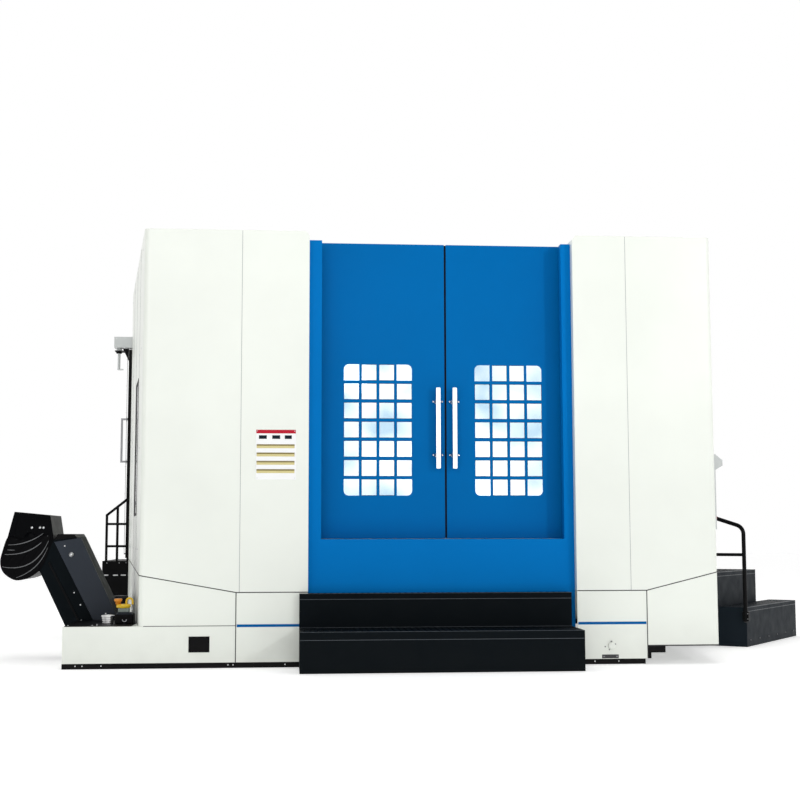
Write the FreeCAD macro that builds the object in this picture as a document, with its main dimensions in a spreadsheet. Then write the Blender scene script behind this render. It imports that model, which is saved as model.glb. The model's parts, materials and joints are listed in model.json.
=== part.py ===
"""Horizontal machining centre with a turning pallet behind two sliding front doors.

All lengths are millimetres and all angles are degrees. The origin is on the floor, in the middle of
the front bay, in the plane of the cabinet fronts. +X runs to the operator's right, +Y to the back
and +Z up. Every driving dimension is a cell of the "Sizes" sheet, and each sub-part is bound to it.
"""
import FreeCAD, Part
import os
import re
import Sketcher

VECTOR = FreeCAD.Vector
AXES = {"x": VECTOR(1, 0, 0), "y": VECTOR(0, 1, 0), "z": VECTOR(0, 0, 1)}

SIZES = {
    # casing
    "cab_top": 3600, "sheet": 3, "seam": 4, "fit_gap": 0.3, "plinth_top": 43, "plinth_wide": 60,
    "left_bay": 1117.5, "left_joint": 1674.5, "left_split": 1700, "left_corner": 2480,
    "left_rise": 140, "right_bay": 1108.5, "right_joint": 1565.5, "right_split": 1696.5,
    "right_corner": 2305, "right_rise": 150, "low_seam": 600, "flare_run": 3116, "flare": 8.3,
    "corner_wrap": 300, "corner_round": 45, "rear_inset": 100, "rear_face": 5150,
    "roof_top": 3565, "return_deep": 255, "chamfer_wide": 29, "chamfer_high": 36,
    "lift_gap": 143, "bracket_long": 150, "bracket_high": 53, "bracket_foot": 38,
    "bracket_lap": 20, "lap": 1,
    # front bay
    "post_face": 79, "post_deep": 80, "post_top": 3540, "left_post": 1011.5, "right_post": 1025.5,
    "sill_top": 1031, "door_face": 263, "door_thick": 40,
    "ledge_deep": 63, "ledge_end": "=door_face + door_thick + ledge_deep", "door_top": 3557,
    "door_split": 50, "door_slit": 17, "door_behind": 48, "door_lift": 4,
    "pane_wide": 130, "pane_high": 138, "pane_step_x": 150, "pane_step_z": 163, "grid_round": 42,
    "left_grid": 818, "right_grid": 302, "grid_low": 1396, "glass_thick": 6, "glass_lap": 22,
    "grip_low": 1625, "grip_long": 679, "grip_wide": 36, "grip_reach": 84, "grip_inset": 62,
    "grip_post_round": 13, "grip_post_end": 112,
    "track_low": 3430, "track_sheet": 8, "track_inset": 255,
    "track_half": "=right_corner - track_inset", "roller_round": 35, "roller_wide": 24,
    "hanger_inset": 180, "hanger_wide": 120, "hanger_sheet": 6, "hanger_drop": 60, "guide_high": 25,
    "guide_gap": 2, "guide_thick": 10,
    # steps and stairs
    "step_left": 1187.5, "step_right": 1050, "step_front": 540, "step_back": 58,
    "step_low": 317, "step_high": 591,
    "stair_x": 3065, "stair_y": 1498, "stair_turn": 53.13, "stair_long": 1645, "stair_tread": 280,
    "stair_low": 372, "landing_long": 1200, "landing_high": 700, "landing_deep": 1400,
    "rail_round": 19, "rail_thin": 15, "rail_high": 1156, "rail_slope": 18, "rail_mid": 870,
    "rail_foot": 290, "rail_bend": 90, "rail_reach": 545, "rail_clear": 12, "rail_tail": 50,
    "seat_half": 30, "seat_high": 45, "seat_lap": 5, "back_post": 60, "back_drop": 150,
    "deck_out": 3203, "deck_front": 3125, "deck_long": 1055, "deck_top": 800,
    "fence_bar": 24, "fence_low": 1280, "fence_high": 1475, "fence_row": 140,
    "fence_second": 370, "fence_skew": 1.3,
    # left service door
    "hatch_front": 3230, "hatch_long": 900, "hatch_low": 850, "hatch_high": 2960,
    "hatch_frame": 60, "hatch_proud": 140, "hatch_thick": 40, "hatch_gap": 4, "hatch_inset": 20,
    "knuckle_round": 10, "knuckle_out": 12, "knuckle_long": 100, "knuckle_low": 1150,
    "knuckle_step": 750, "strap_thick": 10, "strap_reach": 50, "strap_gap": 2,
    "window_front": 900, "window_long": 600, "window_low": 1250, "window_high": 2440,
    "pull_low": 1830, "pull_high": 2300, "pull_bar": 20, "pull_reach": 104,
    "pull_inset": 60,
    "arm_low": 3035, "arm_high": 3150, "arm_front": 3130, "arm_deep": 130, "arm_out": 3125,
    "drop_x": 3080, "drop_y": 3195, "drop_round": 14, "drop_long": 190, "drop_foot": 60,
    "drop_plate": 12, "collar_round": 28, "collar_high": 30,
    # bed and axes
    "foot_high": 90, "foot_round": 48, "bed_top": 560, "way_high": 80,
    "way_top": "=bed_top + way_high", "way_wide": 160, "block_high": 90,
    "bed_wall": 100, "bed_deck": 120, "arm_half": 650, "bed_front": 1400, "cross_front": 3700,
    "cross_back": 4880, "cross_half": 1780, "way_inset": 20, "rail_inset": 30, "way_end": 420,
    "screw_start": 40, "screw_end": 440, "column_screw_start": 60, "bearing_inset": 20,
    "rail_thick": 50, "rail_wide": 45, "run_gap": 0.3, "block_wide": 110, "block_long": 180,
    "table_y": 2150, "table_way": 450, "saddle_half": 600, "saddle_long": 450,
    "saddle_low": "=way_top + block_high", "saddle_thick": 170,
    "saddle_top": "=saddle_low + saddle_thick", "rotor_high": 234, "rotor_round": 430,
    "rotor_top": "=saddle_top + rotor_high", "rotor_step": 60, "rotor_crown": 50,
    "turn_gap": 0.5, "pallet_gap": 1, "pallet_thick": 115, "pallet_half": 500,
    "pallet_low": "=rotor_top + pallet_gap", "pallet_top": "=pallet_low + pallet_thick",
    "pallet_cut": 90,
    "pallet_bore": 25, "bore_deep": 60, "clamp_half": 400, "clamp_bore": 7, "clamp_deep": 40,
    "screw_round": 25, "screw_gap": 0.05, "nut_wide": 120, "bearing_wide": 140, "bearing_long": 60,
    "motor_wide": 160, "motor_long": 260,
    "column_way_front": 3950, "column_way_back": 4640, "column_front": 3920, "column_back": 4720,
    "column_half": 650, "column_low": "=way_top + block_high", "column_foot": 250,
    "column_base": "=column_low + column_foot", "post_wide": 270, "column_beam": 3000,
    "column_top": 3330, "head_way": 515, "head_clear": 40,
    "head_low": "=column_base + head_clear", "head_rail": 50,
    "spindle_z": 1800, "head_half": 260, "head_front": 3290, "plate_half": 600, "plate_high": 330,
    "plate_front": 3770, "plate_back": 3850, "ram_round": 150, "nose_y": 2700, "tail_half": 230,
    "tail_end": 4420, "spindle_round": 90, "spindle_long": 900, "taper_round": 34.9,
    "taper_end": 20, "taper_long": 110, "nose_bolt": 5.1, "nose_circle": 50.8, "nose_deep": 25,
    "head_screw_out": 75, "head_screw_back": 90, "head_bearing_half": 45, "head_bearing_deep": 60,
    "head_screw_rise": 30, "head_motor": 200, "nut_lap": 10, "nut_behind": 55,
    # tool changer
    "store_x": 1900, "store_z": 2300, "store_round": 540, "store_back": 3260, "store_thick": 50,
    "pot_ring": 480, "pot_round": 52, "pot_long": 170, "stand_wide": 300,
    "stand_deep": 210, "stand_back": 20, "stand_top": 2500, "stand_foot": 30, "foot_lap": 100,
    "cross_before": 160, "cross_behind": 90,
    "hub_round": 70, "swing_x": 1025, "swing_half": 80, "swing_front": 2980, "swing_reach": 400,
    "swing_thick": 60, "swing_bar": 40, "swing_grip": 30, "swing_end": 40, "beam_half": 70,
    "beam_deep": 110, "beam_lap": 5, "beam_gap": 10,
    # chips and coolant
    "tank_left": 3080, "tank_back": 1900, "tank_top": 335, "tank_wall": 4, "port_left": 2074,
    "port_wide": 162, "port_low": 128, "port_high": 249,
    "trough_front": 800, "trough_deep": 550, "trough_low": 66, "trough_drop": 5,
    "trough_high": "=tank_top - trough_drop",
    "trough_right": 1000, "trough_skin": 4, "trough_open": 1600, "climb": 64, "climb_right": 2757,
    "climb_top": 1052, "neck_x": 3300, "neck_z": 1026, "lip_x": 3415, "lip_z": 760,
    "hood_x": 3335, "hood_z": 1240, "crown_x": 3640, "crown_z": 1270, "nose_x": 3750,
    "nose_z": 820, "chin_x": 3600, "chin_z": 685, "shaft_x": 3500, "shaft_z": 1040,
    "shaft_round": 25, "shaft_end": 40, "sprocket_round": 110, "sprocket_thick": 30,
    "sprocket_inset": 60, "gear_wide": 180, "gear_long": 200, "gear_motor_round": 65,
    "gear_motor_long": 220, "channel_gap": 6, "mouth_rim": 40, "mouth_end": 60,
    "pump_round": 70, "pump_x": 2960, "pump_step": 145, "pump_y": 1540, "pump_stagger": 40,
    "pump_high": 175, "pump_base": 40, "pump_cap": 40, "pump_neck": 12, "pump_rim": 4,
    # electrics and controls
    "locker_left": 300, "locker_wide": 1100, "locker_deep": 560, "locker_low": 100,
    "locker_top": 2200, "locker_foot": 80, "leaf_thick": 30, "leaf_side": 2, "leaf_end": 5,
    "gland_round": 31.5, "gland_wall": 12, "gland_long": 40,
    "desk_y": 1040, "desk_low": 1110, "desk_high": 700, "desk_long": 520, "desk_deep": 185,
    "desk_reach": 250, "desk_face": 545, "visor_low": 585, "visor_high": 635, "visor_top": 690,
    "button_round": 20, "button_long": 34, "button_gap": 0.5, "well_deep": 30, "button_in": 18,
    "button_low": 110, "button_first": 100, "button_step": 130,
}

POTS = 20

doc = FreeCAD.newDocument("machining_centre")
sheet = doc.addObject("Spreadsheet::Sheet", "Sizes")
for row, (alias, value) in enumerate(SIZES.items(), start=1):
    sheet.set(f"A{row}", alias)
    sheet.set(f"B{row}", str(value))
    sheet.setAlias(f"B{row}", alias)
doc.recompute()


# ---- helpers ---------------------------------------------------------------------------------
def formula(text):
    """An expression in which each size name points to its cell of the sheet."""
    def cell(word):
        return "Sizes." + word.group() if word.group() in SIZES else word.group()
    return re.sub(r"[a-z]+(?:_[a-z]+)*", cell, str(text))


def bind(item, **links):
    """Bind properties to expressions; a double underscore in a name stands for a dot."""
    for name, text in links.items():
        item.setExpression(name.replace("__", "."), formula(text))
    return item


def put(item, x=0, y=0, z=0, axis=None, angle=None):
    """Place an item, turned by an angle about one axis if both are given."""
    if axis:
        item.Placement = FreeCAD.Placement(VECTOR(), FreeCAD.Rotation(AXES[axis], 10))
        bind(item, Placement__Rotation__Angle=angle)
    return bind(item, Placement__Base__x=x, Placement__Base__y=y, Placement__Base__z=z)


def box(name, start, size, axis=None, angle=None):
    """A block from its lowest corner and its length along X, Y and Z."""
    item = doc.addObject("Part::Box", name)
    bind(item, Length=size[0], Width=size[1], Height=size[2])
    return put(item, *start, axis, angle)


def span(name, x, y, z):
    """A block between two values along each axis."""
    sizes = [f"({high}) - ({low})" for low, high in (x, y, z)]
    return box(name, (x[0], y[0], z[0]), sizes)


def rod(name, along, start, radius, length):
    """A round bar along an axis, from the middle of its first end."""
    item = doc.addObject("Part::Cylinder", name)
    bind(item, Radius=radius, Height=length)
    turn = {"x": ("y", 90), "y": ("x", -90), "z": (None, None)}[along]
    return put(item, *start, *turn)


def group(name, items):
    """Separate solids that share one node."""
    item = doc.addObject("Part::Compound", name)
    item.Links = items
    return item


def fuse(name, items):
    """Several shapes joined into one piece."""
    item = doc.addObject("Part::MultiFuse", name)
    item.Shapes = items
    item.Refine = True
    return item


def cut(name, base, tools):
    """A shape with others taken out of it."""
    item = doc.addObject("Part::Cut", name)
    item.Base = base
    item.Tool = tools[0] if len(tools) == 1 else fuse(name + "_tools", tools)
    return item


def common(name, first, second):
    """What two shapes share."""
    item = doc.addObject("Part::Common", name)
    item.Base = first
    item.Tool = second
    return item


def value(text):
    """The number that an expression of size names stands for."""
    return float(sheet.evalExpression(formula(text)))


def outline(body, plane, points):
    """A closed sketch of straight lines on an origin plane, each corner bound to expressions."""
    sketch = body.newObject("Sketcher::SketchObject", body.Name + "_sketch")
    planes = [item for item in body.Origin.OriginFeatures if item.Role == plane + "_Plane"]
    sketch.AttachmentSupport = [(planes[0], "")]
    sketch.MapMode = "FlatFace"
    rough = [VECTOR(value(across), value(up), 0) for across, up in points]
    for i, corner in enumerate(rough):
        sketch.addGeometry(Part.LineSegment(corner, rough[(i + 1) % len(rough)]))
    for i in range(len(rough)):
        sketch.addConstraint(Sketcher.Constraint("Coincident", i, 2, (i + 1) % len(rough), 1))
    for i, corner in enumerate(rough):
        for direction, start, text in (("X", corner.x, points[i][0]), ("Y", corner.y, points[i][1])):
            rule = Sketcher.Constraint("Distance" + direction, -1, 1, i, 1, start)
            name = f"corner{i}{direction}"
            sketch.renameConstraint(sketch.addConstraint(rule), name)
            sketch.setExpression("Constraints." + name, formula(text))
    return sketch


def pad(name, plane, points, length):
    """A body raised from an outline: upwards from XY, to the back from XZ, to +X from YZ."""
    body = doc.addObject("PartDesign::Body", name)
    sketch = outline(body, plane, points)
    raised = body.newObject("PartDesign::Pad", name + "_pad")
    raised.Profile = sketch
    raised.Reversed = plane == "XZ"
    bind(raised, Length=length)
    doc.recompute()
    return body


def round_upright(body, corners):
    """Round a body's upright edges that start at the given corners of its sketch."""
    base = body.Tip
    sketch = base.Profile[0]
    for number, (index, radius) in enumerate(corners):
        spot = sketch.Geometry[index].StartPoint
        names = [
            f"Edge{n}" for n, edge in enumerate(base.Shape.Edges, start=1)
            if all(abs(v.X - spot.x) + abs(v.Y - spot.y) < 0.01 for v in edge.Vertexes)
        ]
        bend = body.newObject("PartDesign::Fillet", f"{body.Name}_bend{number}")
        bend.Base = (base, names)
        bind(bend, Radius=radius)
        doc.recompute()
        base = bend
    return body


def tray(name, x, y, z, wall, open_end="y"):
    """A folded box with one open side: at the back (y) or underneath (z)."""
    inside = [(f"{low} + {wall}", f"{high} - {wall}") for low, high in (x, y, z)]
    beyond = {"y": 1, "z": 2}[open_end]
    if open_end == "y":
        inside[beyond] = (inside[beyond][0], y[1])
    else:
        inside[beyond] = (z[0], inside[beyond][1])
    return cut(name, span(name + "_outside", x, y, z), [span(name + "_inside", *inside)])


# ---- casing ----------------------------------------------------------------------------------
def wall_x(side, along):
    """X of the outer face of a flared side wall at a given Y, counted from the middle."""
    return f"({side}_corner + ({along}) * tan(flare))"


def signed(side, text):
    """Turn a distance from the middle into an X value on one side."""
    return f"-({text})" if side == "left" else f"({text})"


def wrap_plan(name, side, start, end):
    """Plan of a sheet that runs along the front, round the corner and back along the side wall."""
    far = wall_x(side, end)
    points = [
        (start, 0),
        (f"{side}_corner", 0),
        (far, end),
        (f"{far} - sheet / cos(flare)", end),
        (f"{side}_corner - sheet * (1 - sin(flare)) / cos(flare)", "sheet"),
        (start, "sheet"),
    ]
    points = [(signed(side, across), along) for across, along in points]
    body = pad(name, "XY", points, "cab_top")
    return round_upright(body, [(1, "corner_round"), (4, "corner_round - sheet")])


def side_plan(name, side, start, end, high="cab_top"):
    """A flat sheet along a flared side wall between two values of Y."""
    points = [
        (wall_x(side, start), start),
        (wall_x(side, end), end),
        (f"{wall_x(side, end)} - sheet / cos(flare)", end),
        (f"{wall_x(side, start)} - sheet / cos(flare)", start),
    ]
    return pad(name, "XY", [(signed(side, x), y) for x, y in points], high)


def seam_z(side, across):
    """Height of the seam that slopes up from the short base panel to the outer corner."""
    return f"(low_seam + {side}_rise * ({across} - {side}_split) / ({side}_corner - {side}_split))"


def corner_start(side):
    """Inner edge of the corner panel, counted from the middle."""
    return f"{side}_joint + seam / 2"


def upper_view(name, side):
    """Front view of what lies above the seam, from the corner panel's inner edge outwards."""
    start, reach = corner_start(side), f"{side}_corner + flare_run"
    points = [
        (start, "low_seam + seam"),
        (f"{side}_split", "low_seam + seam"),
        (reach, f"{seam_z(side, reach)} + seam"),
        (reach, "cab_top"),
        (start, "cab_top"),
    ]
    return pad(name, "XZ", [(signed(side, x), z) for x, z in points], "flare_run + sheet")


def lower_view(name, side, low, reach):
    """Front view of what lies below the sloping seam."""
    points = [
        (f"{side}_split + seam / 2", low),
        (reach, low),
        (reach, seam_z(side, reach)),
        (f"{side}_split + seam / 2", "low_seam"),
    ]
    return pad(name, "XZ", [(signed(side, x), z) for x, z in points], "flare_run + sheet")


def inner_panel(side, outer):
    """Front sheet beside the bay, with its return along the bay and a cut top corner."""
    points = [
        (f"{outer} - seam / 2", 0),
        (f"{side}_bay", 0),
        (f"{side}_bay", "return_deep"),
        (f"{side}_bay + sheet", "return_deep"),
        (f"{side}_bay + sheet", "sheet"),
        (f"{outer} - seam / 2", "sheet"),
    ]
    plan = pad(f"{side}_inner_plan", "XY", [(signed(side, x), y) for x, y in points], "cab_top")
    view = [
        (outer, "low_seam + seam"),
        (outer, "cab_top"),
        (f"{side}_bay + chamfer_wide", "cab_top"),
        (f"{side}_bay", "cab_top - chamfer_high"),
        (f"{side}_bay", "low_seam + seam"),
    ]
    face = pad(f"{side}_inner_view", "XZ", [(signed(side, x), z) for x, z in view], "return_deep")
    return common(f"{side}_inner_panel", plan, face)


def casing_front():
    """Upper panels of the two front cabinets."""
    for side in ("left", "right"):
        inner_panel(side, f"{side}_joint")
        plan = wrap_plan(f"{side}_corner_plan", side, corner_start(side), "corner_wrap")
        face = upper_view(f"{side}_corner_view", side)
        common(f"{side}_corner_panel", plan, face)


def casing_low():
    """Lower panels: the sheet under the sloping seam and the short base panel beside the steps."""
    bottoms = {"left": "tank_top + fit_gap", "right": "lift_gap"}
    for side in ("left", "right"):
        plan = wrap_plan(f"{side}_low_plan", side, f"{side}_split + seam / 2", "flare_run")
        view = lower_view(f"{side}_low_view", side, bottoms[side], f"{side}_corner + flare_run")
        corner = common(f"{side}_low_corner", plan, view)
        across = [signed(side, f"{side}_split - seam / 2"), signed(side, f"{side}_bay")]
        if side == "right":
            across.reverse()
        short = span(f"{side}_low_short", across, (0, "sheet"), ("plinth_top", "low_seam"))
        solids = [corner, short]
        if side == "left":
            strip = side_plan("left_low_strip", side, "tank_back + seam", "flare_run",
                              "tank_top - plinth_top")
            solids.append(put(strip, z="plinth_top"))
        group(f"{side}_lower_panels", solids)


def casing_sides():
    """Flared upper side walls; the left one has a tall window."""
    for side in ("left", "right"):
        plan = side_plan(f"{side}_side_plan", side, "corner_wrap + seam", "flare_run")
        view = upper_view(f"{side}_side_view", side)
        common(f"{side}_side_sheet", plan, view)
    opening = span(
        "window_opening",
        (f"-{wall_x('left', 'flare_run')}", "-left_split"),
        ("window_front", "window_front + window_long"),
        ("window_low", "window_high"),
    )
    cut("left_side_panel", doc.getObject("left_side_sheet"), [opening])
    lap = ("window_front - glass_lap", "window_front + window_long + glass_lap")
    inner = "(sheet + fit_gap) / cos(flare)"
    points = [
        (f"-({wall_x('left', lap[0])} - {inner})", lap[0]),
        (f"-({wall_x('left', lap[1])} - {inner})", lap[1]),
        (f"-({wall_x('left', lap[1])} - {inner} - glass_thick)", lap[1]),
        (f"-({wall_x('left', lap[0])} - {inner} - glass_thick)", lap[0]),
    ]
    pane = pad("left_side_window", "XY", points, "window_high - window_low + 2 * glass_lap")
    put(pane, z="window_low - glass_lap")


def rear_x(side):
    """Outer face of the narrower rear part of the casing, counted from the middle."""
    return f"({wall_x(side, 'flare_run')} - rear_inset)"


def rear_wall(name, side):
    """Side sheet of the rear part with the step that closes it against the flared wall."""
    outer = rear_x(side)
    points = [
        (f"{wall_x(side, 'flare_run')}", "flare_run"),
        (f"{wall_x(side, 'flare_run')}", "flare_run + sheet"),
        (outer, "flare_run + sheet"),
        (outer, "rear_face - sheet"),
        (f"{outer} - sheet", "rear_face - sheet"),
        (f"{outer} - sheet", "flare_run"),
    ]
    body = pad(name, "XY", [(signed(side, x), y) for x, y in points], "cab_top - plinth_top")
    return put(body, z="plinth_top")


def casing_rear():
    """Rear walls, with the opening of the service door on the left, and the roof."""
    left = rear_wall("left_rear_sheet", "left")
    opening = span(
        "hatch_opening",
        (f"-{wall_x('left', 'flare_run')}", f"-({rear_x('left')} - 2 * sheet)"),
        ("hatch_front", "hatch_front + hatch_long"),
        ("hatch_low", "hatch_high"),
    )
    cut("left_rear_wall", left, [opening])
    back = span(
        "back_sheet", (f"-{rear_x('left')}", rear_x("right")), ("rear_face - sheet", "rear_face"),
        ("plinth_top", "cab_top"))
    group("rear_casing", [rear_wall("right_rear_sheet", "right"), back, roof()])


def roof():
    """Roof sheet between the walls, set back behind the doors in the bay."""
    inner = "(sheet / cos(flare) + fit_gap)"
    ends = {side: f"{wall_x(side, 'flare_run')} - {inner}" for side in ("left", "right")}
    narrow = {side: f"{rear_x(side)} - sheet - fit_gap" for side in ("left", "right")}
    right = [
        ("right_bay + sheet + fit_gap", "ledge_end + fit_gap"),
        ("right_bay + sheet + fit_gap", "sheet + fit_gap"),
        ("right_corner - corner_round", "sheet + fit_gap"),
        (f"{wall_x('right', 'corner_round')} - {inner}", "corner_round"),
        (ends["right"], "flare_run - fit_gap"),
        (narrow["right"], "flare_run - fit_gap"),
        (narrow["right"], "rear_face - sheet - fit_gap"),
    ]
    points = right + [(x.replace("right", "left"), y) for x, y in reversed(right)]
    points = [(x if i < len(right) else f"-({x})", y) for i, (x, y) in enumerate(points)]
    return put(pad("roof", "XY", points, "sheet"), z="roof_top - sheet")


def plinth_bar(name, x, y):
    """A bar of the base frame on the floor."""
    return span(name, x, y, (0, "plinth_top"))


def plinth():
    """Black base frame on the floor with two cross members under the bed."""
    wide = "plinth_wide"
    left, right = f"-{rear_x('left')}", rear_x("right")
    first = "(tank_back - plinth_wide)"
    bars = [
        plinth_bar("plinth_front_left", ("-tank_left", "-left_bay"), (0, wide)),
        plinth_bar("plinth_front_right", ("right_bay", "right_split - bracket_lap"), (0, wide)),
        plinth_bar("plinth_tank_end", ("-tank_left", f"-tank_left + {wide}"), (0, "tank_back")),
        plinth_bar("plinth_tank_back", ("-tank_left", "-left_corner"), (first, "tank_back")),
        plinth_bar("plinth_back", (left, right), (f"rear_face - {wide}", "rear_face")),
    ]
    length = f"(flare_run - {first}) / cos(flare)"
    starts = {
        "left": (f"-{wall_x('left', first)}", "flare"),
        "right": (f"{wall_x('right', first)} - {wide} / cos(flare)", "-flare"),
    }
    for side, (start, turn) in starts.items():
        size = (wide, length, "plinth_top")
        bars.append(box(f"plinth_{side}", (start, first, 0), size, "z", turn))
        ends = [signed(side, rear_x(side)), signed(side, f"{rear_x(side)} - {wide}")]
        if side == "right":
            ends.reverse()
        bars.append(plinth_bar(f"plinth_{side}_rear", ends, (f"flare_run - {wide}", "rear_face")))
    across = (f"{left} + {wide} / 2", f"{right} - {wide} / 2")
    middles = {"front": "cross_front - cross_before", "back": "cross_back + cross_behind"}
    for name, middle in middles.items():
        deep = (f"{middle} - {wide} / 2", f"{middle} + {wide} / 2")
        bars.append(plinth_bar(f"plinth_cross_{name}", across, deep))
        if name == "front":
            bars.append(span("plinth_riser", ("-arm_half", "arm_half"), deep, (0, "foot_high")))
    bars.append(span("bracket_block", ("right_split - 2 * bracket_lap", "right_split + bracket_foot"),
                     (f"{wide} / 2", wide), ("plinth_top - sheet", "lift_gap - bracket_high + sheet")))
    bars.append(span("bracket_bar", ("right_split + seam", "right_split + bracket_long"),
                     (0, wide), ("lift_gap - bracket_high", "lift_gap")))
    fuse("plinth", bars)


# ---- front bay -------------------------------------------------------------------------------
def bay():
    """Posts and sill of the front bay, and the track that the doors hang from."""
    posts = {
        "left": ("-left_bay + fit_gap", "-left_post"),
        "right": ("right_post", "right_bay - fit_gap"),
    }
    depth = ("post_face", "post_face + post_deep")
    solids = [
        tray(f"{side}_post", across, depth, ("sill_top", "post_top"), "sheet")
        for side, across in posts.items()
    ]
    group("bay_posts", solids)
    across = ("-left_bay + fit_gap", "right_bay - fit_gap")
    front = span("sill_front", across, ("post_face", "post_face + sheet"), ("plinth_top", "sill_top"))
    top = span("sill_ledge", across, ("post_face", "ledge_end"), ("sill_top - sheet", "sill_top"))
    fuse("sill_panel", [front, top])
    points = [
        ("door_face + door_thick + hanger_sheet", "track_low"),
        ("ledge_end", "track_low"),
        ("ledge_end", "roof_top - sheet"),
        ("ledge_end - track_sheet", "roof_top - sheet"),
        ("ledge_end - track_sheet", "track_low + track_sheet"),
        ("door_face + door_thick + hanger_sheet", "track_low + track_sheet"),
    ]
    rail = pad("door_track_upper", "YZ", points, "2 * track_half")
    put(rail, x="-track_half")
    guide = span(
        "door_track_lower", ("-left_bay + sheet", "right_bay - sheet"),
        ("door_face + door_thick + guide_gap", "door_face + door_thick + guide_gap + guide_thick"),
        ("sill_top", "sill_top + guide_high"))
    group("door_tracks", [rail, guide])


def door_edges(side):
    """X range of a door leaf: it ends beside the middle slit and runs in behind its post."""
    if side == "left":
        return "-(left_post + door_behind)", "door_split - door_slit / 2"
    return "door_split + door_slit / 2", "right_post + door_behind"


def grid_start(side):
    """X of the first window cut-out of a door."""
    return "-left_grid" if side == "left" else "right_grid"


def door_leaf(side):
    """Folded door leaf with a window grid whose outer corners are round."""
    x = door_edges(side)
    leaf = tray(f"{side}_leaf", x, ("door_face", "door_face + door_thick"),
                ("sill_top + door_lift", "door_top"), "sheet")
    start = grid_start(side)
    panes = []
    for column in range(4):
        for line in range(7):
            corner = (f"{start} + {column} * pane_step_x", "door_face - lap",
                      f"grid_low + {line} * pane_step_z")
            size = ("pane_wide", "sheet + 2 * lap", "pane_high")
            panes.append(box(f"{side}_pane_{column}_{line}", corner, size))
    wide = "(3 * pane_step_x + pane_wide)"
    high = "(6 * pane_step_z + pane_high)"
    disc = [
        rod(f"{side}_grid_disc_{i}{k}", "y",
            (f"{start} + grid_round + {i} * ({wide} - 2 * grid_round)", "door_face - lap",
             f"grid_low + grid_round + {k} * ({high} - 2 * grid_round)"), "grid_round", "sheet + 2 * lap")
        for i in range(2) for k in range(2)
    ]
    deep = ("door_face - lap", "door_face + sheet + lap")
    across = span(f"{side}_grid_across", (start, f"{start} + {wide}"), deep,
                  ("grid_low + grid_round", f"grid_low + {high} - grid_round"))
    upright = span(f"{side}_grid_upright",
                   (f"{start} + grid_round", f"{start} + {wide} - grid_round"), deep,
                   ("grid_low", f"grid_low + {high}"))
    frame = fuse(f"{side}_grid_frame", [across, upright] + disc)
    window = common(f"{side}_window", fuse(f"{side}_panes", panes), frame)
    cut(f"door_{side}", leaf, [window])
    span(f"door_{side}_glass", (f"{start} - glass_lap", f"{start} + {wide} + glass_lap"),
         ("door_face + sheet", "door_face + sheet + glass_thick"),
         ("grid_low - glass_lap", f"grid_low + {high} + glass_lap"))


def door_fittings(side):
    """Bright fittings of a door: the bar handle on two posts, and two hangers with rollers."""
    middle = {
        "left": "(door_split - door_slit / 2 - grip_inset)",
        "right": "(door_split + door_slit / 2 + grip_inset)",
    }[side]
    front = "door_face - grip_reach"
    grip = [span(f"{side}_grip", (f"{middle} - grip_wide / 2", f"{middle} + grip_wide / 2"),
                 (front, f"{front} + grip_wide"), ("grip_low", "grip_low + grip_long"))]
    heights = ("grip_low + grip_post_end", "grip_low + grip_long - grip_post_end")
    for number, height in enumerate(heights):
        start = (middle, f"{front} + grip_wide / 2", height)
        grip.append(rod(f"{side}_grip_post_{number}", "y", start, "grip_post_round",
                        "grip_reach - grip_wide / 2"))
    solids = [fuse(f"{side}_handle", grip)]
    low, high = door_edges(side)
    axle = "track_low + track_sheet + fit_gap + roller_round"
    starts = (f"{low} + hanger_inset", f"{high} - hanger_inset - hanger_wide")
    for number, start in enumerate(starts):
        plate = span(f"{side}_hanger_{number}", (start, f"{start} + hanger_wide"),
                     ("door_face + door_thick", "door_face + door_thick + hanger_sheet - run_gap"),
                     ("track_low - hanger_drop", "door_top"))
        centre = f"{start} + hanger_wide / 2"
        roller = rod(f"{side}_roller_{number}", "y",
                     (centre, "door_face + door_thick + hanger_sheet - lap", axle),
                     "roller_round", "roller_wide")
        solids.append(fuse(f"{side}_trolley_{number}", [plate, roller]))
    group(f"door_{side}_fittings", solids)


# ---- steps, stairs and rails -----------------------------------------------------------------
def front_steps():
    """Two-tier folded step with a closed underside."""
    across = ("-step_left", "step_right")
    low = tray("step_lower", across, ("-step_front", "-step_back"), (0, "step_low"), "sheet")
    wide = span("step_upper_block", across, ("-step_back", "-fit_gap"), (0, "step_high"))
    tread = span("step_bay_block", ("-left_bay + fit_gap", "step_right"),
                 ("-step_back", "post_face - fit_gap"), (0, "step_high"))
    hollow = ("sheet", "step_high - sheet")
    wide_space = span("step_upper_space", ("-step_left + sheet", "step_right - sheet"),
                      ("-step_back + sheet", "-fit_gap - sheet"), hollow)
    tread_space = span("step_bay_space", ("-left_bay + fit_gap + sheet", "step_right - sheet"),
                       ("-step_back + sheet", "post_face - fit_gap"), hollow)
    high = cut("step_upper", fuse("step_upper_solid", [wide, tread]), [wide_space, tread_space])
    group("front_steps", [low, high])


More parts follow.
